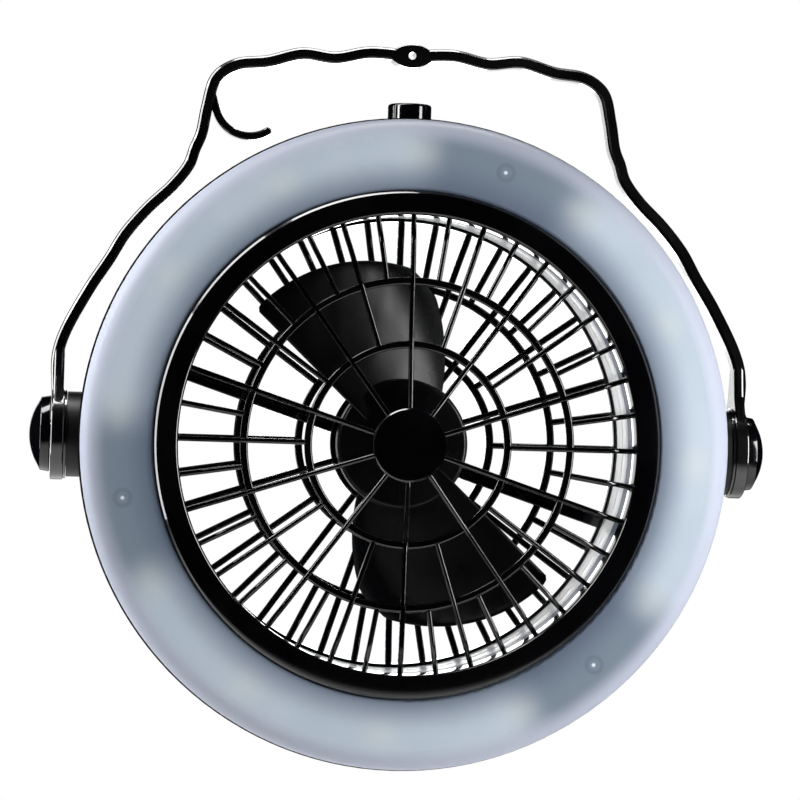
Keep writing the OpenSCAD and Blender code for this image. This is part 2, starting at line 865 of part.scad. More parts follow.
module lead_arc(from, to, r, z) {
    translate([0, 0, z]) rotate_extrude(start = from, angle = to - from)
        translate([r, 0]) circle(lead_r, $fn = 24);
}

// The stretch of a lead in its strut, with the elbow where it turns along the raceway
module strut_lead(a) {
    at(a) translate([0, 0, lead_z]) {
        rod_x(lead_r, motor_r, lead_ring_r);
        translate([lead_ring_r, 0, 0]) sphere(lead_r + 0.05);
    }
}

// Both leads end under the control board, side by side
module motor_leads() {
    first_end = strut_angles[0] - 30;
    second_end = first_end - 12;
    color([0.08, 0.08, 0.085]) upright() {
        strut_lead(strut_angles[0]);
        lead_arc(first_end, strut_angles[0], lead_ring_r, lead_z);
        strut_lead(strut_angles[1]);
        lead_arc(strut_angles[1] - 360, second_end, lead_ring_r, lead_z);
    }
}

module hub() {
    skin = 1.6;
    difference() {
        union() {
            rotate_extrude() difference() {
                band(0, hub_r, hub_top_z - hub_h, hub_top_z);
                round_off([hub_r, hub_top_z], 1.5, 1, 1);
                band(4, hub_r - skin, hub_top_z - hub_h - 1, hub_top_z - skin);
                band(-1, 4 + eps, hub_top_z - hub_h - 1, motor_nose_z + 0.8);
            }
        }
        translate([0, 0, motor_nose_z]) cylinder(r = shaft_r + 0.02, h = hub_top_z - 0.8 - motor_nose_z);
    }
}

// Front view of a blade, drawn up the +y axis: a straight leading edge on the
// left; arcs for the tip, the trailing edge and the corners between them
module blade_outline() {
    k = rotor_d / 124.2;
    leading_at = [-17.7, 12.7] * k;
    leading_a = 136.5;
    reach = rotor_d;
    intersection() {
        translate([-10.5, 7.9] * k) circle(49 * k);
        translate([-46.3, 27] * k) circle(60.2 * k);
        translate([-31.3, 14] * k) circle(53.2 * k);
        translate([-6, 30] * k) circle(41.6 * k);
        translate(leading_at) rotate(leading_a) translate([-reach, -reach]) square([2 * reach, reach]);
    }
}

// A blade is that outline cut out of a curved sheet, pitched about its own middle
module blade() {
    middle = 110;
    camber_r = 90;
    sheet_z = hub_top_z - 3;
    intersection() {
        translate([0, 0, -30]) linear_extrude(60) difference() {
            blade_outline();
            circle(hub_r - 1);
        }
        at(middle) rotate([blade_pitch, 0, 0]) translate([0, 0, sheet_z - camber_r])
            rotate([0, 90, 0]) difference() {
                cylinder(r = camber_r + blade_t / 2, h = rotor_d);
                translate([0, 0, -1]) cylinder(r = camber_r - blade_t / 2, h = rotor_d + 2);
            }
    }
}

module fan_rotor() {
    color([0.03, 0.03, 0.035]) upright() {
        hub();
        blade();
        at(180) blade();
    }
}

module rotor_shaft() {
    color([0.75, 0.75, 0.77]) upright() translate([0, 0, motor_floor_z + 2])
        cylinder(r = shaft_r, h = hub_top_z - 1 - motor_floor_z - 2);
}

// ---------------------------------------------------------------- electronics

module control_board() {
    color([0.1, 0.35, 0.2]) upright() difference() {
        rotate_extrude(start = control_at[0], angle = control_at[1] - control_at[0])
            band(lead_ring_r + lead_r + moving_gap, back_r - wall - 1.2, control_z, control_z + board_t);
        for (a = board_post_angles) at(a)
            translate([board_post_r, 0, control_z - 1]) cylinder(r = 1.1, h = board_t + 2);
    }
}

// Two capacitors, the driver chip and the connector
module board_components() {
    top = control_z + board_t;
    color([0.15, 0.15, 0.16]) upright() {
        at(124) translate([screw_pitch_r - 5, 0, top]) cylinder(r = 4, h = 8);
        at(133) translate([screw_pitch_r - 6, -4, top]) cube([9, 8, 1.6]);
        at(143) translate([screw_pitch_r - 4, 0, top]) cylinder(r = 3.2, h = 10);
        at(113.5) translate([screw_pitch_r - 9, -2.5, top]) cube([5, 5, 6]);
    }
}

module board_screws() {
    color([0.6, 0.6, 0.62]) upright() for (a = board_post_angles) at(a)
        translate([board_post_r, 0, control_z]) {
            translate([0, 0, board_t]) cylinder(r = 2, h = 1.4);
            translate([0, 0, -2.8]) cylinder(r = 1, h = board_t + 3);
        }
}

// Leads from the outer end of the first bay and from the middle, where the bays meet
module battery_leads() {
    board_end_a = control_at[1] - 6;
    bay_end_a = battery_at - bay_half - 19;
    color([0.08, 0.08, 0.085]) upright() {
        lead_arc(board_end_a, bay_end_a, lead_ring_r, lead_z + lead_step);
        lead_arc(board_end_a, battery_at, lead_ring_r, lead_z + 2 * lead_step);
    }
}

module switch_body() {
    color([0.85, 0.85, 0.82]) upright() difference() {
        translate([-switch_w / 2, switch_top_y - switch_h, -switch_w / 2])
            cube([switch_w, switch_h, switch_w]);
        rod_y(plunger_r + running_gap, switch_floor_y, switch_top_y + 1);
    }
}

module power_button() {
    color([0.03, 0.03, 0.035]) upright() rotate([-90, 0, 0]) rotate_extrude() difference() {
        union() {
            band(0, button_r, flange_top_y - flange_t, button_top_y);
            band(0, button_r + 1, flange_top_y - flange_t, flange_top_y);
        }
        round_off([button_r, button_top_y], 1, 1, 1);
    }
}

module switch_plunger() {
    color([0.9, 0.9, 0.88]) upright()
        rod_y(plunger_r, switch_floor_y + button_travel + moving_gap, flange_top_y - flange_t);
}

// ---------------------------------------------------------------- batteries

module battery_cell(side, z) {
    color([0.2, 0.3, 0.25]) upright() in_bay(side) translate([0, cell_mid_r, z]) {
        rod_x(cell_r, -cell_l / 2, cell_l / 2 - nub_h);
        rod_x(2.7, cell_l / 2 - nub_h - 0.5, cell_l / 2);
    }
}

module battery_cell_1() { battery_cell(-1, cell_low_z); }
module battery_cell_2() { battery_cell(-1, cell_high_z); }
module battery_cell_3() { battery_cell(1, cell_low_z); }
module battery_cell_4() { battery_cell(1, cell_high_z); }

module battery_contacts() {
    x = cell_l / 2 + 0.1;
    color([0.8, 0.78, 0.7]) upright() for (side = [-1, 1], end = [-1, 1])
        in_bay(side) translate([end > 0 ? x : -x - contact_t, cell_mid_r - 4, cell_low_z - 4])
            cube([contact_t, 8, cell_high_z - cell_low_z + 8]);
}

// ---------------------------------------------------------------- pivots

module friction_washer() {
    translate([ear_x, 0, 0]) difference() {
        rod_x(10, 0, washer_t);
        rod_x(pivot_r + running_gap, -1, washer_t + 1);
    }
}

module friction_washer_right() { color([0.5, 0.5, 0.5]) upright() friction_washer(); }
module friction_washer_left() { color([0.5, 0.5, 0.5]) upright() mirror([1, 0, 0]) friction_washer(); }

module pivot_screws() {
    head_h = 2.4;
    slot_w = 1;
    color([0.6, 0.6, 0.62]) upright() both_sides() difference() {
        union() {
            rod_x(thread_r, ear_stem_x + 1, ear_x + eps);
            rod_x(pivot_r, ear_x, head_x + eps);
            rod_x(4.4, head_x, head_x + head_h);
        }
        translate([head_x + head_h / 2, -slot_w / 2, -5]) cube([head_h, slot_w, 10]);
    }
}

module spring_washers() {
    floor_x = eye_out_x - recess_t;
    color([0.6, 0.6, 0.62]) upright() both_sides() difference() {
        rod_x(5, floor_x + 0.1, head_x - 0.05);
        rod_x(pivot_r + running_gap, floor_x - 1, head_x + 1);
    }
}

// ---------------------------------------------------------------- drawing

handle_bail();
pivot_cap_left();
pivot_cap_right();
rear_housing();
rear_grille();
duct_sleeve();
front_grille();
diffuser_lens();
led_board_left();
led_board_bottom();
led_board_right();
led_packages();
housing_screws();
motor_can();
motor_end_bell();
motor_screws();
motor_leads();
control_board();
board_components();
board_screws();
battery_leads();
switch_body();
battery_cell_1();
battery_cell_2();
battery_cell_3();
battery_cell_4();
battery_contacts();
friction_washer_left();
friction_washer_right();
pivot_screws();
spring_washers();
power_button();
switch_plunger();
fan_rotor();
rotor_shaft();
battery_door();
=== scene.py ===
# %% [markdown]
# # A portable camping fan with a ring light
#
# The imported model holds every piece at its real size. This script gives the pieces that show
# their finish: the ones with a good shape already keep it and only get a material, and the ones
# whose edges or curves matter to the eye are modelled again in the same place.
# %% Load the frame
import math

import bmesh
import bpy
from mathutils import Matrix, Vector


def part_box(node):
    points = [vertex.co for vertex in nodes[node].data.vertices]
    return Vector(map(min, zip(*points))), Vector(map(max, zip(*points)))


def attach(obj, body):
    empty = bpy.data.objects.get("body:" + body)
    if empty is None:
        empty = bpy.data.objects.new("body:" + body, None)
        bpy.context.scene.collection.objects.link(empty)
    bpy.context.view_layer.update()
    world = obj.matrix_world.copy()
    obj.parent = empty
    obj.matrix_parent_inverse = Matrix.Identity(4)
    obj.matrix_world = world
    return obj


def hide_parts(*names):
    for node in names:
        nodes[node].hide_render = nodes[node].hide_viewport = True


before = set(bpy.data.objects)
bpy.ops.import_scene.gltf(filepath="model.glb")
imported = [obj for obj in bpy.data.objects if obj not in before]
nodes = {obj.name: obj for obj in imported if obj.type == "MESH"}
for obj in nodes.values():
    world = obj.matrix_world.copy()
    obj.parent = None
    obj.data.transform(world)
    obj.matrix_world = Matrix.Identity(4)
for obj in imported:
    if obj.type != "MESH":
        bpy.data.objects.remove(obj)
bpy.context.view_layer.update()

# %% [markdown]
# ## Where things are
#
# A fan is round about its rotor's axis, so it is easiest to describe in bench coordinates: the
# fan lies face up, x runs to the right, y towards the grip, and the height h rises towards the
# face from the plane of the two pivots. All sizes are in millimetres. `stand` turns such a point
# into the frame's own coordinates, which are metres, with the fan upright and facing -Y.
# %% Measure the frame
MM = 0.001
lens_low, lens_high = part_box("diffuser_lens")
AXIS_Z = (lens_low.z + lens_high.z) / 2


def stand(x, y, h):
    """The place in the frame of a bench point in millimetres."""
    return Vector((x * MM, -h * MM, y * MM + AXIS_Z))


def polar(radius, degrees):
    """The x and y of a bench point at that radius and angle from the rotor's axis."""
    angle = math.radians(degrees)
    return Vector((radius * math.cos(angle), radius * math.sin(angle)))


def front_of(node):
    return -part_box(node)[0].y / MM


def back_of(node):
    return -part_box(node)[1].y / MM


def radius_of(node):
    low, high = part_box(node)
    return (high.z - low.z) / 2 / MM


LENS_R = radius_of("diffuser_lens")
FACE_H = front_of("diffuser_lens")
BEZEL_R = radius_of("front_grille")
CAP_H = front_of("front_grille")
SLEEVE_R = radius_of("duct_sleeve")
SLEEVE_TOP = front_of("duct_sleeve")
SLEEVE_END = back_of("duct_sleeve")
JOINT_H = front_of("rear_housing")
BACK_H = back_of("rear_housing")
BODY_R = 100.6
DUCT_R = SLEEVE_R - 1.6
print(f"lens radius {LENS_R:.1f} mm, face {FACE_H:.1f}, bezel {BEZEL_R:.1f}, back {BACK_H:.1f}")

# %% [markdown]
# ## Objects and nodes in one line
#
# Every object shows some data and has to be put in the scene. Shader trees and geometry trees
# are both built from nodes and links. So short helpers place an object, empty a tree, and make a
# node whose inputs are filled with numbers or linked to other nodes' outputs.
# %% Object helpers


def place_object(name, data):
    """A new object that shows the data, put in the scene."""
    made = bpy.data.objects.new(name, data)
    bpy.context.scene.collection.objects.link(made)
    return made


def mesh_from(name, made):
    """A mesh from a bmesh, which is used up."""
    mesh = bpy.data.meshes.new(name)
    made.to_mesh(mesh)
    made.free()
    return mesh


# %% Node helpers
WHITE = (1, 1, 1, 1)
BLACK = (0, 0, 0, 1)


def empty_tree(owner):
    """The tree of a new world or material, without the nodes that it comes with."""
    owner.use_nodes = True
    owner.node_tree.nodes.clear()
    return owner.node_tree


def add(tree, kind, inputs=None, **settings):
    """A new node in tree; inputs maps a socket's name or number to a value or to an output."""
    made = tree.nodes.new(kind)
    for name, value in settings.items():
        setattr(made, name, value)
    for key, value in (inputs or {}).items():
        if isinstance(value, bpy.types.NodeSocket):
            tree.links.new(value, made.inputs[key])
        else:
            made.inputs[key].default_value = value
    return made


def out(tree, kind, inputs=None, **settings):
    """The first output of a new node."""
    return add(tree, kind, inputs, **settings).outputs[0]


def maths(tree, operation, a, b=0.0, c=0.0):
    return out(tree, "ShaderNodeMath", {0: a, 1: b, 2: c}, operation=operation)


def smooth_step(tree, value, low, high):
    """0 below low, 1 above high, and a soft climb between them."""
    return out(tree, "ShaderNodeMapRange", {"Value": value, "From Min": low, "From Max": high},
               interpolation_type="SMOOTHSTEP")


def distance_from(tree, along, across):
    squares = maths(tree, "ADD", maths(tree, "MULTIPLY", along, along),
                    maths(tree, "MULTIPLY", across, across))
    return maths(tree, "SQRT", squares)


def blend_colour(tree, share, below, above):
    """below where share is 0, above where it is 1; each is a colour or another output."""
    return add(tree, "ShaderNodeMix", {"Factor": share, "A": below, "B": above},
               data_type="RGBA").outputs["Result"]


# %% [markdown]
# ## The camera
#
# The photograph was taken from far away with a long lens, a little to the fan's left, and the
# camera was rolled by less than two degrees. The view is level, so the camera stands at the
# height that it looks at.
# %% Camera
AIM = Vector((-0.0023, -0.021, -0.1041))
CAMERA_SIDE = math.radians(-5.7)
CAMERA_ROLL = math.radians(1.76)
CAMERA_DISTANCE = 1.0
LENS_MM = 146.25
SENSOR_MM = 36

camera = place_object("camera", bpy.data.cameras.new("camera"))
camera.data.lens = LENS_MM
camera.data.sensor_width = SENSOR_MM
camera.matrix_world = (Matrix.Translation(AIM) @ Matrix.Rotation(CAMERA_SIDE, 4, "Z")
                       @ Matrix.Rotation(math.pi / 2, 4, "X")
                       @ Matrix.Rotation(CAMERA_ROLL, 4, "Z")
                       @ Matrix.Translation((0, 0, CAMERA_DISTANCE)))
bpy.context.scene.camera = camera
print("camera stands at", [round(x, 3) for x in camera.matrix_world.translation])

# %% [markdown]
# ## Light and background
#
# A product photograph like this one is taken against white, in a darker room. So the world is
# white to the camera, in reflections and through anything clear, and a plain grey to rays that
# light the surfaces. A lamp close at the right makes the ring brighter on that side and one at
# the upper left answers it. Long strips at the left, above and in the corner between them show
# only in reflections, where they draw the thin white lines on the edges, as a light tent does; a
# narrow one behind draws them on the faces that turn away. The last two, which aren't mirrored,
# brighten the ring's upper left rim and shine into the duct from the back.
# %% World
FILL_LIGHT = 0.13


def sky_strength(tree):
    """1 for camera, glossy and transmission rays, and the fill light for all others."""
    path = add(tree, "ShaderNodeLightPath").outputs
    direct = maths(tree, "ADD", path["Is Camera Ray"], path["Is Transmission Ray"])
    seen = out(tree, "ShaderNodeMath", {0: direct, 1: path["Is Glossy Ray"]},
               operation="ADD", use_clamp=True)
    return out(tree, "ShaderNodeMapRange", {"Value": seen, "To Min": FILL_LIGHT, "To Max": 1.0})


world = bpy.data.worlds.new("studio")
bpy.context.scene.world = world
sky_tree = empty_tree(world)
sky = out(sky_tree, "ShaderNodeBackground", {"Color": WHITE, "Strength": sky_strength(sky_tree)})
add(sky_tree, "ShaderNodeOutputWorld", {"Surface": sky})

# %% Lamps


def soft_lamp(name, place, width, height, watts, diffuse=True, glossy=True):
    """A rectangular area lamp at place, aimed at the middle of the fan."""
    lamp = place_object(name, bpy.data.lights.new(name, "AREA"))
    lamp.data.shape = "RECTANGLE"
    lamp.data.size = width
    lamp.data.size_y = height
    lamp.data.energy = watts
    lamp.location = place
    lamp.rotation_euler = (AIM - Vector(place)).to_track_quat("-Z", "Y").to_euler()
    lamp.visible_camera = False
    lamp.visible_diffuse = diffuse
    lamp.visible_glossy = glossy


soft_lamp("lamp_right", (0.3, -0.2, -0.07), 0.09, 0.3, 1.75)
soft_lamp("lamp_upper_left", (-0.44, -0.2, 0.18), 0.09, 0.3, 2.5)
soft_lamp("strip_left", (-0.7, 0.05, -0.05), 0.2, 0.7, 6.0, diffuse=False)
soft_lamp("strip_corner", (-0.58, 0.05, 0.4), 0.2, 0.45, 3.9, diffuse=False)
soft_lamp("strip_above", (-0.05, 0.05, 0.6), 0.9, 0.2, 9.0, diffuse=False)
soft_lamp("strip_behind", (0.05, 0.8, -0.05), 0.12, 0.3, 0.5, diffuse=False)
soft_lamp("lamp_rim", (-0.46, -0.06, 0.2), 0.2, 0.3, 1.8, glossy=False)
soft_lamp("lamp_duct", (-0.6, 0.55, -0.1), 0.8, 0.8, 12.0, glossy=False)
bpy.context.scene.view_settings.view_transform = "Standard"

# %% [markdown]
# ## A dark screen
#
# Polished black plastic shows what it mirrors. The photographer hangs black cloth all round, up
# to the sides of a white backdrop about a metre wide, so that black faces and their edges stay
# black against it, and only faces that turn right away mirror the white. The cloth is a deep
# bowl, open to the back, which only shows in reflections: it hides nothing and takes no light.
# %% Dark screen
SCREEN_R = 1.3
SCREEN_ANGLE = math.radians(158)


def dark_screen():
    """A black bowl round the camera's side, up to SCREEN_ANGLE away from its middle."""
    made = bmesh.new()
    bmesh.ops.create_uvsphere(made, u_segments=48, v_segments=32, radius=SCREEN_R)
    made.transform(Matrix.Rotation(math.pi / 2, 4, "X"))
    behind = [v for v in made.verts if v.co.y > -SCREEN_R * math.cos(SCREEN_ANGLE)]
    bmesh.ops.delete(made, geom=behind, context="VERTS")
    cloth = bpy.data.materials.new("black_cloth")
    tree = empty_tree(cloth)
    surface = out(tree, "ShaderNodeBsdfDiffuse", {"Color": BLACK})
    add(tree, "ShaderNodeOutputMaterial", {"Surface": surface})
    screen = place_object("dark_screen", mesh_from("dark_screen", made))
    screen.data.materials.append(cloth)
    for kind in ("camera", "diffuse", "transmission", "shadow"):
        setattr(screen, "visible_" + kind, False)


dark_screen()

# %% [markdown]
# ## The floor
#
# The fan hangs, so the pale floor lies below it, out of the camera's view. It is a round sheet
# that is white to the eye and fades out at its rim, and it keeps the fan's soft shadow. Its
# underside is clear, so that the fan can be looked at from below.
# %% Floor
FLOOR_Z = -0.32
FLOOR_R = 0.6
FLOOR_TONE = (0.93, 0.93, 0.93, 1)


def floor_material():
    material = bpy.data.materials.new("pale_floor")
    tree = empty_tree(material)
    place = add(tree, "ShaderNodeTexCoord").outputs["Object"]
    part = add(tree, "ShaderNodeSeparateXYZ", {0: place}).outputs
    faded = smooth_step(tree, distance_from(tree, part["X"], part["Y"]),
                        FLOOR_R * 0.45, FLOOR_R * 0.98)
    underside = add(tree, "ShaderNodeNewGeometry").outputs["Backfacing"]
    mixed = out(tree, "ShaderNodeMixShader", {
        0: maths(tree, "MAXIMUM", faded, underside),
        1: out(tree, "ShaderNodeBsdfDiffuse", {"Color": FLOOR_TONE}),
        2: out(tree, "ShaderNodeBsdfTransparent")})
    add(tree, "ShaderNodeOutputMaterial", {"Surface": mixed})
    return material


def make_floor():
    made = bmesh.new()
    bmesh.ops.create_circle(made, cap_ends=True, radius=FLOOR_R, segments=96)
    bmesh.ops.translate(made, verts=made.verts, vec=(0, 0, FLOOR_Z))
    floor = place_object("floor", mesh_from("floor", made))
    floor.data.materials.append(floor_material())


make_floor()

# %% [markdown]
# ## Finishes that share an effect
#
# Moulded plastic is never perfectly even: the mould leaves a fine grain, and hands leave patches
# that are a little smoother or duller. Both are slow and fast noise in the piece's own
# coordinates, so one node group makes them for every plastic here, each with its own values.
# %% Moulded skin group


def new_group(name, inputs, outputs):
    """A shader node group with float inputs, given with their defaults, and float outputs."""
    group = bpy.data.node_groups.new(name, "ShaderNodeTree")
    for socket, value in inputs.items():
        made = group.interface.new_socket(socket, in_out="INPUT", socket_type="NodeSocketFloat")
        made.default_value = value
    for socket in outputs:
        group.interface.new_socket(socket, in_out="OUTPUT", socket_type="NodeSocketFloat")
    return group


def moulded_skin_group():
    group = new_group("moulded_skin", {"Grain size mm": 0.3, "Roughness": 0.4, "Patches": 0.1},
                      ["Roughness", "Height", "Patch"])
    given = add(group, "NodeGroupInput").outputs
    place = add(group, "ShaderNodeTexCoord").outputs["Object"]
    per_metre = maths(group, "DIVIDE", 1 / MM, given["Grain size mm"])
    grain = out(group, "ShaderNodeTexNoise",
                {"Vector": place, "Scale": per_metre, "Detail": 2.0, "Roughness": 0.6})
    patch = out(group, "ShaderNodeTexNoise", {"Vector": place, "Scale": 45.0, "Detail": 4.0})
    shift = out(group, "ShaderNodeMapRange", {"Value": patch, "From Min": 0.3, "From Max": 0.7,
                                              "To Min": -1.0, "To Max": 1.0})
    change = maths(group, "MULTIPLY", shift, given["Patches"])
    rough = maths(group, "ADD", given["Roughness"], change)
    add(group, "NodeGroupOutput", {"Roughness": rough, "Height": grain, "Patch": patch})
    return group


def ring_place_group():
    """Radius in millimetres and angle in degrees of a point about the rotor's axis."""
    group = new_group("ring_place", {}, ["Radius", "Angle"])
    place = add(group, "ShaderNodeTexCoord").outputs["Object"]
    part = add(group, "ShaderNodeSeparateXYZ", {0: place}).outputs
    x = maths(group, "MULTIPLY", part["X"], 1 / MM)
    above = maths(group, "SUBTRACT", part["Z"], AXIS_Z)
    y = maths(group, "MULTIPLY", above, 1 / MM)
    turn = maths(group, "ARCTAN2", y, x)
    add(group, "NodeGroupOutput", {"Radius": distance_from(group, x, y),
                                   "Angle": maths(group, "MULTIPLY", turn, 180 / math.pi)})
    return group


MOULDED_SKIN = moulded_skin_group()
RING_PLACE = ring_place_group()
print("groups:", [g.name for g in bpy.data.node_groups])

# %% [markdown]
# ## Plastics and metals
#
# Every material starts from the same few lines: a Principled BSDF, the moulded skin for its
# roughness and its tiny bumps, and a colour that drifts slowly between two close tones. What is
# the same all over the surface, such as the specular level, is set on the shader itself.
# %% Material helper
looks = {}


def srgb(red, green, blue):
    """A colour given as in an image editor, 0 to 255, as the linear one that shaders use."""
    def linear(value):
        value /= 255
        return value / 12.92 if value <= 0.04045 else ((value + 0.055) / 1.055) ** 2.4
    return (linear(red), linear(green), linear(blue), 1.0)


def plastic(name, tone, drift, roughness, grain=0.35, bump=0.02, patches=0.05, **constants):
    """Adds a moulded surface, whose colour drifts from tone to drift, to the looks."""
    material = bpy.data.materials.new(name)
    material.use_nodes = True
    tree = material.node_tree
    shader = tree.nodes["Principled BSDF"].inputs
    skin = add(tree, "ShaderNodeGroup", {"Grain size mm": grain, "Roughness": roughness,
                                         "Patches": patches}, node_tree=MOULDED_SKIN).outputs
    share = smooth_step(tree, skin["Patch"], 0.35, 0.65)
    raised = out(tree, "ShaderNodeBump", {"Height": skin["Height"], "Strength": 1.0,
                                          "Distance": bump * MM})
    tree.links.new(blend_colour(tree, share, srgb(*tone), srgb(*drift)), shader["Base Color"])
    tree.links.new(skin["Roughness"], shader["Roughness"])
    tree.links.new(raised, shader["Normal"])
    for socket, value in constants.items():
        shader[socket.replace("_", " ")].default_value = value
    looks[name] = material


# %% Materials
SATIN = {"Specular_IOR_Level": 0.25}
METAL = {"Metallic": 1.0}
plastic("handle_black", (3, 3, 4), (6, 6, 7), 0.25, bump=0.01, Specular_IOR_Level=0.25,
        Coat_Weight=1.0, Coat_Roughness=0.06)
plastic("gloss_black", (3, 3, 5), (5, 5, 7), 0.1, bump=0.003, patches=0.02,
        Specular_IOR_Level=0.35, Coat_Weight=0.2, Coat_Roughness=0.03)
plastic("grille_black", (2, 2, 3), (4, 4, 5), 0.13, bump=0.006, patches=0.03,
        Specular_IOR_Level=0.2, Coat_Weight=0.8, Coat_Roughness=0.04)
plastic("housing_black", (5, 5, 6), (8, 8, 9), 0.4, **SATIN)
plastic("rotor_black", (2, 2, 3), (4, 4, 5), 0.28, **SATIN)
plastic("lead_black", (8, 8, 9), (12, 12, 13), 0.4, **SATIN)
plastic("sleeve_white", (236, 238, 240), (242, 243, 244), 0.35)
plastic("board_white", (232, 234, 230), (238, 240, 237), 0.4)
plastic("light_package", (247, 240, 180), (252, 247, 205), 0.3)
plastic("motor_plastic", (30, 30, 32), (36, 36, 38), 0.45)
plastic("board_green", (28, 84, 52), (34, 96, 60), 0.35)
plastic("component_dark", (30, 30, 32), (40, 40, 42), 0.4)
plastic("switch_ivory", (226, 222, 208), (232, 229, 217), 0.4)
plastic("cell_sleeve", (46, 74, 60), (52, 84, 68), 0.25)
plastic("washer_fibre", (120, 108, 96), (134, 122, 108), 0.75)
plastic("steel", (168, 168, 170), (184, 184, 186), 0.3, **METAL)
plastic("motor_steel", (176, 178, 182), (190, 191, 194), 0.28, **METAL)
plastic("contact_metal", (200, 194, 176), (212, 208, 194), 0.3, **METAL)
print(len(looks), "plain finishes")

# %% [markdown]
# ## The frosted ring
#
# Light boards with twelve small lights lie behind a frosted ring. From outside they show as soft
# tones: a paler band over each board, darker gaps between the boards and a faint warm spot over
# each light. Over these lie a painted shade along the inner edge, a painted lavender tint on the
# rim where the wall turns, standing for light through the thin edge, and a small painted
# highlight on each screw post. Angles repeat every third of a turn, so the angle is folded first,
# to 0 to 60 degrees away from the middle of the nearest board, and each tone is then one soft
# step.
# %% Ring tones
SEAT_R = BEZEL_R + 0.2
LIGHT_R = LENS_R - 11.5
HALF_THIRD = 60.0
BOARD_MIDDLE = 12.0
LIGHT_STEP = 28.5
GAP_FROM, GAP_TO = 38.0, 50.0
SPOT_R = 9.0
POST_R = (1.4, 2.2, 2.6, 3.4)
# The radius of the painted highlight in the middle of each screw post.
GLINT_R = 0.9


def ring_tones_group():
    """Masks of the light ring: gaps, warm spots, painted inner shade, painted rim light, screw
    posts and a painted glint on each post.
    """
    group = new_group("ring_tones", {}, ["Gap", "Spot", "Shade", "Painted rim light", "Post", "Dot"])
    ring = add(group, "ShaderNodeGroup", node_tree=RING_PLACE).outputs
    radius = ring["Radius"]
    arm = maths(group, "MULTIPLY", radius, math.pi / 180)
    across = maths(group, "SUBTRACT", radius, LIGHT_R)
    from_board = maths(group, "SUBTRACT", ring["Angle"], BOARD_MIDDLE)
    folded = maths(group, "PINGPONG", from_board, HALF_THIRD)
    from_pair = maths(group, "ABSOLUTE", maths(group, "SUBTRACT", folded, LIGHT_STEP))
    from_light = maths(group, "SUBTRACT", from_pair, LIGHT_STEP / 2)
    along = maths(group, "MULTIPLY", from_light, arm)
    from_screw = maths(group, "SUBTRACT", HALF_THIRD, folded)
    round_screw = maths(group, "MULTIPLY", from_screw, arm)
    from_post = distance_from(group, round_screw, across)
    post = maths(group, "MULTIPLY", smooth_step(group, from_post, *POST_R[:2]),
                 smooth_step(group, from_post, POST_R[3], POST_R[2]))
    add(group, "NodeGroupOutput", {
        "Gap": smooth_step(group, folded, GAP_FROM, GAP_TO),
        "Spot": smooth_step(group, distance_from(group, along, across), SPOT_R, 0.0),
        "Shade": smooth_step(group, radius, SEAT_R + 12.0, SEAT_R - 2.0),
        # Painted light: a lavender tint on the rim, for the light that shines through the thin
        # edge where the wall turns.
        "Painted rim light": smooth_step(group, radius, LENS_R - 8.5, LENS_R - 2.0),
        "Post": post,
        # Painted highlight: a bright dot in the middle of each screw post.
        "Dot": smooth_step(group, from_post, GLINT_R, 0.0)})
    return group


RING_TONES = ring_tones_group()

# %% Frosted material
# The shade, the rim light and the glint on each post are painted shade and light, laid over the
# plastic's own tones.
TONES = [("Gap", 1.0, (104, 115, 127)), ("Spot", 0.14, (208, 206, 186)),
         ("Post", 0.4, (80, 90, 102)), ("Shade", 0.87, (80, 90, 107)),
         ("Painted rim light", 0.85, (156, 160, 174)), ("Dot", 1.0, (225, 230, 236))]


def frosted_ring():
    """A pale frosted plastic with each mask's tone laid over it at its share."""
    plastic("frosted_clear", (158, 169, 180), (163, 173, 184), 0.4, grain=0.5, bump=0.006,
            patches=0.02, Specular_IOR_Level=0.1)
    tree = looks["frosted_clear"].node_tree
    masks = add(tree, "ShaderNodeGroup", node_tree=RING_TONES).outputs
    base = tree.nodes["Principled BSDF"].inputs["Base Color"]
    colour = base.links[0].from_socket
    for mask, share, tone in TONES:
        weight = maths(tree, "MULTIPLY", masks[mask], share)
        colour = blend_colour(tree, weight, colour, srgb(*tone))
    tree.links.new(colour, base)


frosted_ring()
print("frosted ring:", [s.name for s in RING_TONES.interface.items_tree])

# %% [markdown]
# ## Finishes on the CAD nodes
#
# The record names one material slot for every node. A node whose shape is right keeps its mesh,
# and its slot gets the finish of the same name.
# %% Dress the nodes
for node in nodes.values():
    slot = node.material_slots[0]
    finish = slot.material.name
    slot.link = "OBJECT"
    slot.material = looks[finish]
print(len(nodes), "nodes dressed")

# %% [markdown]
# ## Rounded outlines and lathed pieces
#
# Real mouldings have no knife edges: each corner has a small radius, and that radius is what
# catches a line of light. So an outline is written as corners with a radius each, and a helper
# turns every corner into an arc. Round pieces are then lathed from such an outline.
# %% Outline helpers


def rounded(corners, steps=5):
    """A closed outline through corners (x, y, radius), each turned into an arc of steps."""
    points = []
    for i, (x, y, radius) in enumerate(corners):
        here = Vector((x, y))
        to_last = (Vector(corners[i - 1][:2]) - here).normalized()
        to_next = (Vector(corners[(i + 1) % len(corners)][:2]) - here).normalized()
        half = to_last.angle(to_next) / 2
        if radius <= 0 or half > math.radians(89):
            points.append(here)
            continue
        centre = here + (to_last + to_next).normalized() * radius / math.sin(half)
        start = here + to_last * radius / math.tan(half) - centre
        turn = start.angle_signed(here + to_next * radius / math.tan(half) - centre)
        for k in range(steps + 1):
            step = Matrix.Rotation(-turn * k / steps, 2)
            points.append(centre + step @ start)
    return [tuple(p) for p in points]


def block(x0, x1, y0, y1, fillet=0, steps=4):
    """A rectangle's outline, with four equal corners."""
    return rounded([(x0, y0, fillet), (x1, y0, fillet), (x1, y1, fillet), (x0, y1, fillet)],
                   steps)


def three_facets(radius, height, size):
    """A rising outline's outer corner as three flat facets; the middle one mirrors sideways."""
    corner = rounded([(0, height, 0), (0, height - 3 * size, 0), (radius, height - 3 * size, 0),
                      (radius, height, size)], steps=3)
    return [(x, y, 0) for x, y in corner[3:]]


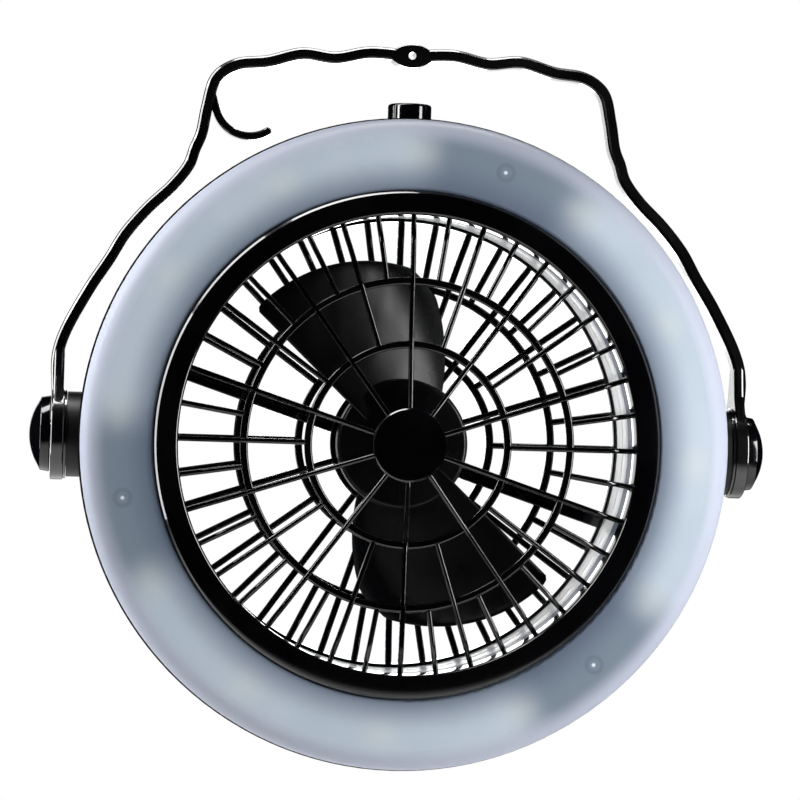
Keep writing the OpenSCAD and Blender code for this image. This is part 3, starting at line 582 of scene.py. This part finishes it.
def arc_over(half, rise, places):
    """Points (x, y) of the arc that spans -half to half and rises by rise. The places along it
    run from -1 to 1."""
    radius = (half * half + rise * rise) / (2 * rise)
    widest = math.asin(half / radius)
    return [(radius * math.sin(widest * t), rise - radius + radius * math.cos(widest * t))
            for t in places]


# %% Lathe helpers


def about(x, y):
    """Places for lathe about an axis that stands on the bench at x, y."""
    return lambda radius, height, angle: stand(x + radius * math.cos(angle),
                                               y + radius * math.sin(angle), height)


def about_pivot(side):
    """Places whose height runs outwards along the pivots' axis, to the right for side 1."""
    return lambda radius, height, angle: stand(side * height, radius * math.cos(angle),
                                               radius * math.sin(angle))


def about_y(radius, height, angle):
    """A place whose height runs up from the rotor's axis towards the grip."""
    return stand(radius * math.cos(angle), height, radius * math.sin(angle))


def lathe(made, outline, segments=128, place=about(0, 0)):
    """Adds a closed outline of (radius, height), turned round an axis, to a bmesh."""
    rings = []
    for radius, height in outline:
        count = 1 if radius < 1e-6 else segments
        rings.append([made.verts.new(place(radius, height, 2 * math.pi * k / segments))
                      for k in range(count)])
    for i, ring in enumerate(rings):
        other = rings[(i + 1) % len(rings)]
        for k in range(segments):
            corners = [ring[k % len(ring)], ring[(k + 1) % len(ring)],
                       other[(k + 1) % len(other)], other[k % len(other)]]
            corners = list(dict.fromkeys(corners))
            if len(corners) > 2:
                made.faces.new(corners)


# %% Piece helpers


def bare_piece(name, made):
    """A new object from a bmesh, with its normals outwards."""
    bmesh.ops.recalc_face_normals(made, faces=made.faces)
    return place_object(name, mesh_from(name, made))


def shade(piece, finish, sharp=40.0):
    """Gives a piece its finish, smooth up to the angle sharp."""
    piece.data.materials.clear()
    piece.data.materials.append(looks[finish])
    piece.data.shade_smooth()
    piece.data.set_sharp_from_angle(angle=math.radians(sharp))
    return piece


def hand_over(piece, body, slot, *stood_for):
    """Tells the frame what the piece rides on and the nodes that it stands for; slot is not used.
    """
    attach(piece, body)
    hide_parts(*stood_for)
    print(f"{piece.name}: {len(piece.data.polygons)} faces, stands for {', '.join(stood_for)}")


# %% [markdown]
# ## The grilles
#
# Both grilles follow one pattern: forty short spokes outside the larger ring, every second of
# them carried on to the smaller ring, and every fourth on to the middle, all on a shallow dome.
# That is a rule, so Geometry Nodes make it: the modifier's own curve is the dome's line, the tree
# gives it a rounded section, cuts it to three lengths, and sets each length round the axis.
# %% Grille tree
SPOKES = 40
GRILLE_SIZES = ["Spoke width", "Spoke depth", "Ring width", "Edge radius", "Middle radius",
                "Inner ring radius", "Inner ring height", "Outer ring radius",
                "Outer ring height"]
SPOKE_SETS = [("Outer ring radius", 1.0, 0), ("Inner ring radius", 2.0, 0),
              ("Middle radius", 4.0, 18)]


def rounded_section(tree, width, depth, fillet):
    """A rectangle with rounded corners, as a profile for Curve to Mesh."""
    square = out(tree, "GeometryNodeCurvePrimitiveQuadrilateral",
                 {"Width": depth, "Height": width})
    return out(tree, "GeometryNodeFilletCurve",
               {"Curve": square, "Radius": fillet, "Count": 4}, mode="POLY")


def spokes_from(tree, line, section, start, count, first):
    """Spokes that start at a radius, count of them, the first one at an angle in degrees."""
    x = out(tree, "ShaderNodeSeparateXYZ", {0: out(tree, "GeometryNodeInputPosition")})
    short = out(tree, "FunctionNodeCompare", {"A": x, "B": start}, data_type="FLOAT",
                operation="LESS_THAN")
    cut = out(tree, "GeometryNodeDeleteGeometry", {"Geometry": line, "Selection": short},
              domain="POINT")
    upright = out(tree, "GeometryNodeSetCurveNormal", {"Curve": cut}, mode="Z_UP")
    bar = out(tree, "GeometryNodeCurveToMesh",
              {"Curve": upright, "Profile Curve": section, "Fill Caps": True})
    share = maths(tree, "DIVIDE", out(tree, "GeometryNodeInputIndex"), count)
    turn = maths(tree, "MULTIPLY_ADD", share, -2 * math.pi, -math.radians(first))
    return out(tree, "GeometryNodeInstanceOnPoints",
               {"Points": out(tree, "GeometryNodePoints", {"Count": count}), "Instance": bar,
                "Rotation": out(tree, "ShaderNodeCombineXYZ", {"Y": turn})})


def grille_ring(tree, section, radius, height):
    """A ring of that section about the Y axis, at that height towards the face."""
    circle = out(tree, "GeometryNodeCurvePrimitiveCircle", {"Resolution": 144, "Radius": radius})
    bar = out(tree, "GeometryNodeCurveToMesh", {"Curve": circle, "Profile Curve": section})
    drop = out(tree, "ShaderNodeCombineXYZ", {"Y": maths(tree, "MULTIPLY", height, -1.0)})
    return out(tree, "GeometryNodeTransform", {"Geometry": bar, "Translation": drop,
                                               "Rotation": (math.pi / 2, 0, 0)})


def build_grille_tree():
    tree = bpy.data.node_groups.new("spoked_grille", "GeometryNodeTree")
    for name, kind in [("Dome line", "Geometry"), ("Spokes", "Int"),
                       *((size, "Float") for size in GRILLE_SIZES), ("Finish", "Material")]:
        tree.interface.new_socket(name, in_out="INPUT", socket_type="NodeSocket" + kind)
    tree.interface.new_socket("Grille", in_out="OUTPUT", socket_type="NodeSocketGeometry")
    given = add(tree, "NodeGroupInput").outputs
    line = out(tree, "GeometryNodeResampleCurve", {"Curve": given["Dome line"], "Count": 48})
    spoke, rim = (rounded_section(tree, given[w], given["Spoke depth"], given["Edge radius"])
                  for w in ("Spoke width", "Ring width"))
    parts = []
    for start, step, first in SPOKE_SETS:
        count = maths(tree, "DIVIDE", given["Spokes"], step)
        parts.append(spokes_from(tree, line, spoke, given[start], count, first))
    for ring in ("Inner ring", "Outer ring"):
        parts.append(grille_ring(tree, rim, given[ring + " radius"], given[ring + " height"]))
    joined = add(tree, "GeometryNodeJoinGeometry")
    for part in parts:
        tree.links.new(part, joined.inputs["Geometry"])
    real = out(tree, "GeometryNodeRealizeInstances", {"Geometry": joined.outputs[0]})
    smooth = out(tree, "GeometryNodeSetShadeSmooth", {"Geometry": real})
    done = out(tree, "GeometryNodeSetMaterial", {"Geometry": smooth, "Material": given["Finish"]})
    add(tree, "NodeGroupOutput", {"Grille": done})
    return tree


GRILLE_TREE = build_grille_tree()

# %% Run a tree


def evaluated_mesh(source):
    """A plain mesh of an object as its modifiers make it."""
    graph = bpy.context.evaluated_depsgraph_get()
    graph.update()
    return bpy.data.meshes.new_from_object(source.evaluated_get(graph), depsgraph=graph)


def run_tree(name, source, tree, values):
    """Evaluates a geometry tree on an object and returns its result as a plain mesh."""
    modifier = source.modifiers.new(name, "NODES")
    modifier.node_group = tree
    for socket in tree.interface.items_tree:
        if socket.in_out == "INPUT" and socket.name in values:
            modifier[socket.identifier] = values[socket.name]
    mesh = evaluated_mesh(source)
    source.modifiers.remove(modifier)
    return mesh


def dome_curve(name, line):
    """A poly line through (radius, height), drawn along +x with the face towards -Y."""
    curve = bpy.data.curves.new(name, "CURVE")
    curve.dimensions = "3D"
    spline = curve.splines.new("POLY")
    spline.points.add(len(line) - 1)
    for point, (radius, height) in zip(spline.points, line):
        point.co = (radius * MM, -height * MM, 0, 1)
    return place_object(name, curve)


def height_at(line, radius):
    """The height of a dome's line at a radius."""
    for (r0, h0), (r1, h1) in zip(line, line[1:]):
        if r0 <= radius <= r1:
            return h0 + (h1 - h0) * (radius - r0) / (r1 - r0)
    return line[-1][1]


# %% [markdown]
# The front grille is one moulding with the glossy ring round it and the round cap in the middle,
# which are lathed. The dome is highest at the cap and drops towards the ring.
# %% Front grille
RING_OUTER_R = 50.2
RING_INNER_R = 30.7
SPOKE_DEPTH = 2.4
SPOKE_EDGE_R = 0.72
FRONT_SPOKE_W = 1.6
FRONT_RING_W = 1.7
FRONT_CAP_R = 11.4
BEZEL_IN_R = DUCT_R - 1.1
BEZEL_H = FACE_H + 1.5
BEZEL_FACETS = 1.6
CAP_FACETS = 1
SEAT_H = FACE_H - 4.5
front_line = [(FRONT_CAP_R - 2, CAP_H - 2.6), (FRONT_CAP_R, CAP_H - 2.8),
              (RING_INNER_R, FACE_H - 1.9), (RING_OUTER_R, FACE_H - 3),
              (DUCT_R - 8.5, FACE_H - 4.2), (DUCT_R - 5, FACE_H - 5.4),
              (DUCT_R - 0.7, FACE_H - 5.6)]


def add_grille(made, name, line, spoke_w, ring_w, middle_r):
    """Adds the spokes and rings of one grille to a bmesh, in the frame's place."""
    source = dome_curve(name + "_line", line)
    sizes = [spoke_w, SPOKE_DEPTH, ring_w, SPOKE_EDGE_R, middle_r,
             RING_INNER_R, height_at(line, RING_INNER_R),
             RING_OUTER_R, height_at(line, RING_OUTER_R)]
    values = {key: size * MM for key, size in zip(GRILLE_SIZES, sizes)}
    mesh = run_tree(name, source, GRILLE_TREE,
                    {**values, "Spokes": SPOKES, "Finish": looks["grille_black"]})
    bpy.data.objects.remove(source)
    mesh.transform(Matrix.Translation((0, 0, AXIS_Z)))
    made.from_mesh(mesh)


def front_grille():
    made = bmesh.new()
    add_grille(made, "front_spokes", front_line, FRONT_SPOKE_W, FRONT_RING_W, FRONT_CAP_R - 2)
    bezel = rounded([(BEZEL_IN_R, SEAT_H - 3, 0.3), (DUCT_R - 0.2, SEAT_H - 3, 0.2),
                     (DUCT_R - 0.2, SEAT_H, 0), (BEZEL_R, SEAT_H, 0.2),
                     *three_facets(BEZEL_R, BEZEL_H, BEZEL_FACETS), (BEZEL_IN_R, BEZEL_H, 1.2)])
    lathe(made, bezel, 256)
    cap = rounded([(0, CAP_H - 4.2, 0), (FRONT_CAP_R, CAP_H - 4.2, 0.3),
                   *three_facets(FRONT_CAP_R, CAP_H, CAP_FACETS), (0, CAP_H, 0)])
    lathe(made, cap)
    return shade(bare_piece("front_grille_moulding", made), "grille_black", sharp=28)


hand_over(front_grille(), "housing", "grille_black", "front_grille")

# %% [markdown]
# ## Sweeps, plates and joins
#
# Some pieces are bars along a line, some are plates with rounded edges, and some are several
# solids joined and cut. `sweep` and `plate` make the first two, `solid` makes any shape an object
# of its own, and `carve` joins or cuts such objects exactly.
# %% Sweep and join helpers


def sweep(made, line, section, widths=None):
    """Sweeps a section of (sideways, height) along a flat line, with closed ends. The widths
    are factors for the sideways sizes, one for each point of the line."""
    widths = widths or [1.0] * len(line)
    rows = []
    for i, point in enumerate(line):
        way = (line[min(i + 1, len(line) - 1)] - line[max(i - 1, 0)]).normalized()
        side = way.orthogonal() * widths[i]
        rows.append([made.verts.new(stand(point.x + side.x * u, point.y + side.y * u, h))
                     for u, h in section])
    count = len(section)
    for row, other in zip(rows, rows[1:]):
        for k in range(count):
            made.faces.new([row[k], row[(k + 1) % count], other[(k + 1) % count], other[k]])
    made.faces.new(rows[0])
    made.faces.new(list(reversed(rows[-1])))


def plate(made, outline, low, high, fillet, place=stand, steps=3):
    """A flat plate with that outline, whose long edges are rounded off."""
    points = [Vector(p) for p in outline]
    count = len(points)
    area = sum(points[i - 1].cross(points[i]) for i in range(count))
    facing = 1 if area > 0 else -1

    def inset(distance):
        moved = []
        for i, point in enumerate(points):
            before = (point - points[i - 1]).normalized()
            after = (points[(i + 1) % count] - point).normalized()
            inward = (before + after).orthogonal().normalized() * facing
            share = max(0.4, inward.dot(before.orthogonal() * facing))
            moved.append(point + inward * distance / share)
        return moved
    levels = []
    for k in range(steps + 1):
        angle = math.pi / 2 * k / steps
        levels.append((fillet * (1 - math.sin(angle)), low + fillet * (1 - math.cos(angle))))
    levels += [(gap, low + high - h) for gap, h in reversed(levels)]
    rows = [[made.verts.new(place(p.x, p.y, h)) for p in inset(gap)] for gap, h in levels]
    for row, other in zip(rows, rows[1:]):
        for i in range(count):
            made.faces.new([row[i - 1], row[i], other[i], other[i - 1]])
    made.faces.new(rows[0])
    made.faces.new(rows[-1])


def solid(name, build, *sizes):
    """A scratch object: build is lathe, sweep or plate, and the sizes are what it is given."""
    made = bmesh.new()
    build(made, *sizes)
    return bare_piece(name, made)


def carve(base, others, operation="UNION"):
    """Joins or cuts base with the other objects, which are used up."""
    for other in others:
        modifier = base.modifiers.new("carve", "BOOLEAN")
        modifier.operation = operation
        modifier.solver = "EXACT"
        modifier.object = other
        base.data = evaluated_mesh(base)
        base.modifiers.clear()
        bpy.data.objects.remove(other)


# %% [markdown]
# ## The rear grille
#
# It repeats the front's pattern with slightly thicker spokes. Its middle is the motor's cup, and
# two struts with a channel for the motor's leads cross from the cup to the outer ring. The same
# tree makes its spokes. The cup and the ring are lathed, the struts are swept, and because the
# channels and screw holes cut through several of them, these are joined and cut as solids.
# %% Rear grille
REAR_SPOKE_W = 2.0
MOTOR_R = radius_of("motor_can")
CUP_R = MOTOR_R + 2.4
CUP_TOP = front_of("motor_can") - 4.2
CUP_FLOOR = back_of("motor_end_bell")
LEAD_H = (front_of("motor_leads") + back_of("motor_leads")) / 2
LEAD_R = 0.7
CHANNEL_HALF = LEAD_R + 0.15
STRUT_HALF = 1.6
STRUT_LOW_EDGE = 3.7
STRUT_ANGLES = (162, 342)
MOTOR_SCREWS = [(12, 72), (12, 252)]
HEAD_R = 2.5
SHANK_R = 1.45
rear_line = [(CUP_R - 1, BACK_H + 2.8), (RING_INNER_R, BACK_H + 3.4),
             (RING_OUTER_R, BACK_H + 4), (DUCT_R - 8.5, BACK_H + 4.8),
             (DUCT_R - 5, BACK_H + 5.6), (DUCT_R - 0.6, BACK_H + 5.8)]


def radial_bar(angle, start, end, low_side, high_side, bottom, top, fillet):
    """A bar along a radius; its sides are measured upwards, square to the radius."""
    way = polar(1, angle)
    if way.x < 0:
        low_side, high_side = -high_side, -low_side
    return solid("bar", sweep, [way * start, way * end],
                 block(low_side, high_side, bottom, top, fillet))


def screw_hole(radius, angle):
    """A through hole with a wider recess for the head, open to the back."""
    outline = [(0, BACK_H - 1), (HEAD_R, BACK_H - 1), (HEAD_R, BACK_H + 1.4),
               (SHANK_R, BACK_H + 1.4), (SHANK_R, BACK_H + 6), (0, BACK_H + 6)]
    return solid("screw_hole", lathe, outline, 48, about(*polar(radius, angle)))


def rear_grille():
    lip = CUP_R + 1.2
    cup = rounded([(0, BACK_H, 0), (CUP_R, BACK_H, 0.6), (CUP_R, CUP_TOP - 1.6, 0.3),
                   (lip, CUP_TOP - 1.6, 0.3), (lip, CUP_TOP, 0.4), (MOTOR_R + 0.2, CUP_TOP, 0.3),
                   (MOTOR_R + 0.2, CUP_FLOOR, 0.2), (0, CUP_FLOOR, 0)])
    ring = rounded([(DUCT_R - 1, BACK_H + 1.2, 0.4), (SLEEVE_R, BACK_H + 1.2, 0.3),
                    (SLEEVE_R, SLEEVE_END, 0), (DUCT_R - 1, SLEEVE_END, 0.4)])
    base = solid("motor_cup", lathe, cup)
    parts = [solid("outer_ring", lathe, ring, 256)]
    cuts = [screw_hole(*at) for at in MOTOR_SCREWS]
    for angle in STRUT_ANGLES:
        parts.append(radial_bar(angle, CUP_R - 1, DUCT_R - 0.5, -STRUT_LOW_EDGE, STRUT_HALF,
                                BACK_H + 1.2, LEAD_H + 1, 0.45))
        cuts.append(radial_bar(angle, MOTOR_R - 1, SLEEVE_R + 2, -CHANNEL_HALF, CHANNEL_HALF,
                               LEAD_H - CHANNEL_HALF, LEAD_H + LEAD_R + 2.85, 0))
    carve(base, parts)
    carve(base, cuts, "DIFFERENCE")
    made = bmesh.new()
    made.from_mesh(base.data)
    bpy.data.objects.remove(base)
    add_grille(made, "rear_spokes", rear_line, REAR_SPOKE_W, REAR_SPOKE_W, CUP_R - 1)
    return shade(bare_piece("rear_grille_moulding", made), "grille_black", sharp=35)


hand_over(rear_grille(), "housing", "grille_black", "rear_grille")

# %% [markdown]
# ## The rotor
#
# Two broad blades sweep round a flat hub. A blade is a sheet of even thickness, curved along its
# width like a piece of a tube and pitched about its own middle line, and its outline is where
# four discs and one straight side overlap. The mesh is a fan of rings round the blade's middle:
# each point's height comes from the tube, and the sheet thins to a round edge at the outline.
# %% Blade outline
HUB_R = 20.4
HUB_TOP = front_of("rotor_shaft") + 1
HUB_DEPTH = 8.6
BLADE_PITCH = math.radians(19)
BLADE_T = 1.5
BLADE_ANGLE = math.radians(110)
BLADE_MIDDLE = Vector((-20.0, 34.0))
BLADE_DISCS = [(-10.5, 7.9, 49), (-46.3, 27, 60.2), (-31.3, 14, 53.2), (-6, 30, 41.6)]
CAMBER_R = 90.0
CAMBER_LOW = HUB_TOP - 3 - CAMBER_R
LEADING_AT = Vector((-17.7, 12.7))
LEADING_SIDE = polar(1, 136.5 + 90)


def reach_along(direction):
    """How far a ray from the blade's middle runs inside the discs and the straight side."""
    reach = 200.0
    for x, y, radius in BLADE_DISCS:
        offset = BLADE_MIDDLE - Vector((x, y))
        b = offset.dot(direction)
        reach = min(reach, -b + math.sqrt(b * b - offset.length_squared + radius * radius))
    closing = direction.dot(LEADING_SIDE)
    if closing > 0:
        reach = min(reach, (LEADING_AT - BLADE_MIDDLE).dot(LEADING_SIDE) / closing)
    return reach


def sheet_height(x, y, side):
    """The blade's surface over (x, y): side is 1 for the front skin and -1 for the back."""
    from_line = y * math.cos(BLADE_ANGLE) - x * math.sin(BLADE_ANGLE)
    across = from_line
    for _ in range(12):
        height = CAMBER_LOW + math.sqrt(CAMBER_R ** 2 - across ** 2)
        across = (from_line + height * math.sin(BLADE_PITCH)) / math.cos(BLADE_PITCH)
    height = CAMBER_LOW + math.sqrt((CAMBER_R + side * BLADE_T / 2) ** 2 - across ** 2)
    return height * math.cos(BLADE_PITCH) + across * math.sin(BLADE_PITCH)


# %% Rotor


def add_blade(made, turn, spokes=120, rings=14):
    """Adds one blade, turned round the axis by an angle."""
    spin = Matrix.Rotation(turn, 2)
    sheets = []
    for side in (1, -1):
        rows = []
        for k in range(rings + 1):
            share = math.sin(math.pi / 2 * k / rings)
            thin = math.sqrt(max(0.0, 1 - share ** 16))
            row = []
            for i in range(spokes):
                ray = polar(1, 360 * i / spokes)
                x, y = BLADE_MIDDLE + ray * reach_along(ray) * share
                front, rear = sheet_height(x, y, 1), sheet_height(x, y, -1)
                height = (front + rear) / 2 + side * thin * (front - rear) / 2
                row.append(stand(*(spin @ Vector((x, y))), height))
            rows.append(row if k else row[:1])
        sheets.append(rows)
    edge = [made.verts.new(p) for p in sheets[0][-1]]
    for rows in sheets:
        grid = [[made.verts.new(p) for p in row] for row in rows[:-1]] + [edge]
        for inner, outer in zip(grid, grid[1:]):
            for i in range(spokes):
                j = (i + 1) % spokes
                corners = [inner[i % len(inner)], inner[j % len(inner)], outer[j], outer[i]]
                made.faces.new(list(dict.fromkeys(corners)))


def fan_rotor():
    made = bmesh.new()
    low = HUB_TOP - HUB_DEPTH
    hub = rounded([(0, low + 1.4, 0), (4, low + 1.4, 0.3), (4, HUB_TOP - 1.6, 0.3),
                   (HUB_R - 1.6, HUB_TOP - 1.6, 0.8), (HUB_R - 1.6, low, 0.4), (HUB_R, low, 0.4),
                   (HUB_R, HUB_TOP, 1.5), (0, HUB_TOP, 0)])
    lathe(made, hub)
    add_blade(made, 0)
    add_blade(made, math.pi)
    return shade(bare_piece("rotor_moulding", made), "rotor_black")


hand_over(fan_rotor(), "rotor", "rotor_black", "fan_rotor")

# %% [markdown]
# ## The duct sleeve
#
# A plain white tube lines the duct. Its two ends are slightly rounded, and one fine groove runs
# round it near the back.
# %% Duct sleeve
GROOVE_H = JOINT_H - 22.3
GROOVE_W = 0.6
GROOVE_R = DUCT_R + 0.5


def duct_sleeve():
    outline = rounded([(DUCT_R, SLEEVE_END, 0.2), (SLEEVE_R, SLEEVE_END, 0.2),
                       (SLEEVE_R, SLEEVE_TOP, 0.2), (DUCT_R, SLEEVE_TOP, 0.4),
                       (DUCT_R, GROOVE_H + GROOVE_W, 0.1), (GROOVE_R, GROOVE_H + GROOVE_W, 0.1),
                       (GROOVE_R, GROOVE_H, 0.1), (DUCT_R, GROOVE_H, 0.1)], steps=3)
    return shade(solid("duct_liner", lathe, outline, 192), "sleeve_white")


hand_over(duct_sleeve(), "housing", "sleeve_white", "duct_sleeve")

# %% [markdown]
# ## Pivot caps and push button
#
# The caps and the button are glossy black. Their outlines have clear steps with small radii, so
# that the lamps draw the short bright strokes along the steps that the photograph shows.
# %% Caps and button
EYE_OUT_X = 108.9
CAP_R = radius_of("pivot_cap_right")
CAP_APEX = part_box("pivot_cap_right")[1].x / MM
CAP_SKIRT = EYE_OUT_X + 2.9
DOME_STEPS = 14


def pivot_cap(name, side):
    base = rounded([(0, EYE_OUT_X + 0.2, 0), (CAP_R, EYE_OUT_X + 0.2, 0.35),
                    (CAP_R - 0.5, CAP_SKIRT + 0.3, 0.45), (CAP_R - 3, CAP_SKIRT + 1.35, 0)])
    arc = arc_over(CAP_R - 0.5, CAP_APEX - CAP_SKIRT,
                   [1 - k / DOME_STEPS for k in range(DOME_STEPS)])
    dome = [(radius, CAP_SKIRT + rise) for radius, rise in arc if radius < CAP_R - 3]
    outline = base[:-1] + dome + [(0, CAP_APEX)]
    return shade(solid(name, lathe, outline, 128, about_pivot(side)), "gloss_black", sharp=60)


hand_over(pivot_cap("pivot_cover_right", 1), "handle", "gloss_black", "pivot_cap_right")
hand_over(pivot_cap("pivot_cover_left", -1), "handle", "gloss_black", "pivot_cap_left")

BUTTON_R = 6.9
BUTTON_FOOT, BUTTON_TOP = ((corner.z - AXIS_Z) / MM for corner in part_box("power_button"))


def push_button():
    flange = BUTTON_FOOT + 1.4
    outline = rounded([(0, BUTTON_FOOT, 0), (BUTTON_R + 1, BUTTON_FOOT, 0.2),
                       (BUTTON_R + 1, flange, 0.2), (BUTTON_R, flange, 0.1),
                       (BUTTON_R, BUTTON_TOP, 0.9), (BUTTON_R - 1.6, BUTTON_TOP, 0.2),
                       (BUTTON_R - 1.9, BUTTON_TOP - 0.3, 0.2), (0, BUTTON_TOP - 0.5, 0)])
    return shade(solid("push_button", lathe, outline, 128, about_y), "gloss_black")


hand_over(push_button(), "button", "gloss_black", "power_button")

# %% [markdown]
# ## The handle
#
# The handle is one strap, bent in waves that fit the fingers, with an almond and a small hole in
# the middle of the grip, a hook at the left, and a round disc at each end. The strap is swept:
# its middle line is a smooth curve through a few points, given as an angle up from the pivot and
# a distance outside the housing, and its section is a rectangle with flat bevels on its edges,
# which mirror a thin white line beside a dark one.
# %% Handle line
STRAP_T = 3.7
STRAP_BEVEL = 0.45
STRAP_STEEP = 0.3
STEEP_ANGLE = math.radians(75)
ROOT_T = 2.9
STRAP_W = 8.0
arm_line = [(0, 6.3), (7, 7.9), (12, 9.6), (17, 9.5), (24.6, 7.8), (30.6, 6.9), (35.7, 7.4),
            (41.2, 7.2), (46.5, 6.9), (50.8, 8.5), (53.3, 11.6), (55.6, 14.6), (58.4, 20.8),
            (61.4, 27.2), (64.9, 28.4), (69.1, 25.9), (74.1, 25.2), (78.7, 21.9), (83.9, 22.3),
            (90, 20.9)]


def smooth_line(points, steps=12):
    """A Catmull-Rom curve through all the points."""
    line = []
    held = [points[0], *points, points[-1]]
    for a, b, c, d in zip(held, held[1:], held[2:], held[3:]):
        for k in range(steps):
            t = k / steps
            line.append(0.5 * (2 * b + t * (c - a) + t * t * (2 * a - 5 * b + 4 * c - d)
                               + t ** 3 * (3 * b - a - 3 * c + d)))
    return line + [points[-1]]


def handle_line():
    """The middle line of the strap, from the right end over the grip to the left end."""
    right = smooth_line([polar(BODY_R + gap, angle) for angle, gap in arm_line])
    return right + [Vector((-p.x, p.y)) for p in reversed(right[:-1])]


def strap_section():
    """A rectangle with a flat bevel on every edge and a steeper, darker one outside it."""
    x, y = STRAP_T / 2, STRAP_W / 2
    steep = STRAP_STEEP * math.tan(STEEP_ANGLE)
    bevel = [(x - STRAP_STEEP - STRAP_BEVEL, -y), (x - STRAP_STEEP, STRAP_BEVEL - y),
             (x, STRAP_BEVEL + steep - y)]
    right = bevel + [(px, -py) for px, py in reversed(bevel)]
    return right + [(-px, -py) for px, py in right]


def strap():
    """The whole strap, a little thinner at its two ends."""
    line = handle_line()
    widths = []
    for point in line:
        climb = min(1.0, max(0.0, (point.y - 17) / 10))
        widths.append((ROOT_T + (STRAP_T - ROOT_T) * climb * climb * (3 - 2 * climb)) / STRAP_T)
    return solid("handle_strap", sweep, line, strap_section(), widths)


# %% Hook, almond and discs
EYE_R = 14.3
EYE_IN_X = EYE_OUT_X - 4.1
GRIP_Y = BODY_R + arm_line[-1][1]
ALMOND = (7.6, 3.67)
ALMOND_STEPS = 24
HOOK_AT = Vector((-50.4, GRIP_Y - 16.2))
HOOK_R = 10.7
HOOK_T = 2.4
HOOK_HALF_W = STRAP_W / 2 - 1
HOOK_EDGE_R = 0.7


def almond_outline():
    """Two arcs that meet in a point at the left and the right."""
    arc = arc_over(*ALMOND, [2 * k / ALMOND_STEPS - 1 for k in range(ALMOND_STEPS + 1)])
    top = [(x, GRIP_Y + y) for x, y in arc]
    return top + [(-x, 2 * GRIP_Y - y) for x, y in top[1:-1]]


def hook_line(start=196, end=303, steps=40):
    """Starts inside the strap, bends out of it and follows a good quarter of a circle."""
    arc = [HOOK_AT + polar(HOOK_R, start + (end - start) * k / steps) for k in range(steps + 1)]
    return [Vector((-62.6, 109.1)), Vector((-62.05, 107.1)), Vector((-61.5, 105.2))] + arc


def hook_parts():
    """The hook and its round end."""
    line = hook_line()
    section = block(-HOOK_T / 2, HOOK_T / 2, -HOOK_HALF_W, HOOK_HALF_W, HOOK_EDGE_R)
    edge = rounded([(0, -HOOK_HALF_W, 0), (HOOK_T / 2, -HOOK_HALF_W, HOOK_EDGE_R),
                    (HOOK_T / 2, HOOK_HALF_W, HOOK_EDGE_R), (0, HOOK_HALF_W, 0)], steps=4)
    return [solid("hook", sweep, line, section),
            solid("hook_tip", lathe, edge, 40, about(*line[-1]))]


def flare_outline():
    """The strap's end as seen from the side, widening into the disc."""
    lower = [(0, -EYE_R + 0.6), (6, -EYE_R + 1.6), (12, -9), (18, -5.8), (27, -STRAP_W / 2)]
    return lower + [(x, -y) for x, y in reversed(lower)]


def land_outline():
    """A raised land round the friction washer, which closes the gap to the housing's boss."""
    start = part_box("friction_washer_right")[0].x / MM + 0.08
    return rounded([(EYE_R - 3.4, start, 0), (EYE_R - 0.5, start, 0.1),
                    (EYE_R - 0.5, EYE_IN_X + 0.5, 0), (EYE_R - 3.4, EYE_IN_X + 0.5, 0)], steps=2)


def end_disc(side):
    """The disc at one end of the strap, the flare that leads into it, and the land on it."""
    def on_side(x, y, h):
        return stand(side * h, x, y)
    outline = [polar(EYE_R, 3.75 * k) for k in range(96)]
    return [solid("disc", plate, outline, EYE_IN_X, EYE_OUT_X, 0.5, on_side),
            solid("flare", plate, flare_outline(), EYE_OUT_X - 3.6, EYE_OUT_X - 0.4, 0.9,
                  on_side),
            solid("land", lathe, land_outline(), 96, about_pivot(side))]


# %% Handle
BORE_R = 2.6
SCREW_SEAT_R = 8.9
SCREW_SEAT_X = EYE_OUT_X - 1.4
EYELET_R = 1.2
bore = [(0, EYE_IN_X - 1), (BORE_R, EYE_IN_X - 1), (BORE_R, SCREW_SEAT_X),
        (SCREW_SEAT_R, SCREW_SEAT_X), (SCREW_SEAT_R, EYE_OUT_X + 1), (0, EYE_OUT_X + 1)]


def handle():
    bar = strap()
    parts = [solid("almond", plate, almond_outline(), -STRAP_W / 2, STRAP_W / 2, 0.6),
             *hook_parts()]
    holes = []
    for side in (1, -1):
        parts += end_disc(side)
        holes.append(solid("bore", lathe, bore, 64, about_pivot(side)))
        clear = block(0, EYE_R - 1, EYE_IN_X - 6, EYE_IN_X + 0.02)
        carve(bar, [solid("clear", lathe, clear, 64, about_pivot(side))], "DIFFERENCE")
    holes.append(solid("eyelet", lathe, block(0, EYELET_R, -6, 6), 40, about(0, GRIP_Y)))
    carve(bar, parts)
    carve(bar, holes, "DIFFERENCE")
    return shade(bar, "handle_black", sharp=12)


hand_over(handle(), "handle", "handle_black", "handle_bail")
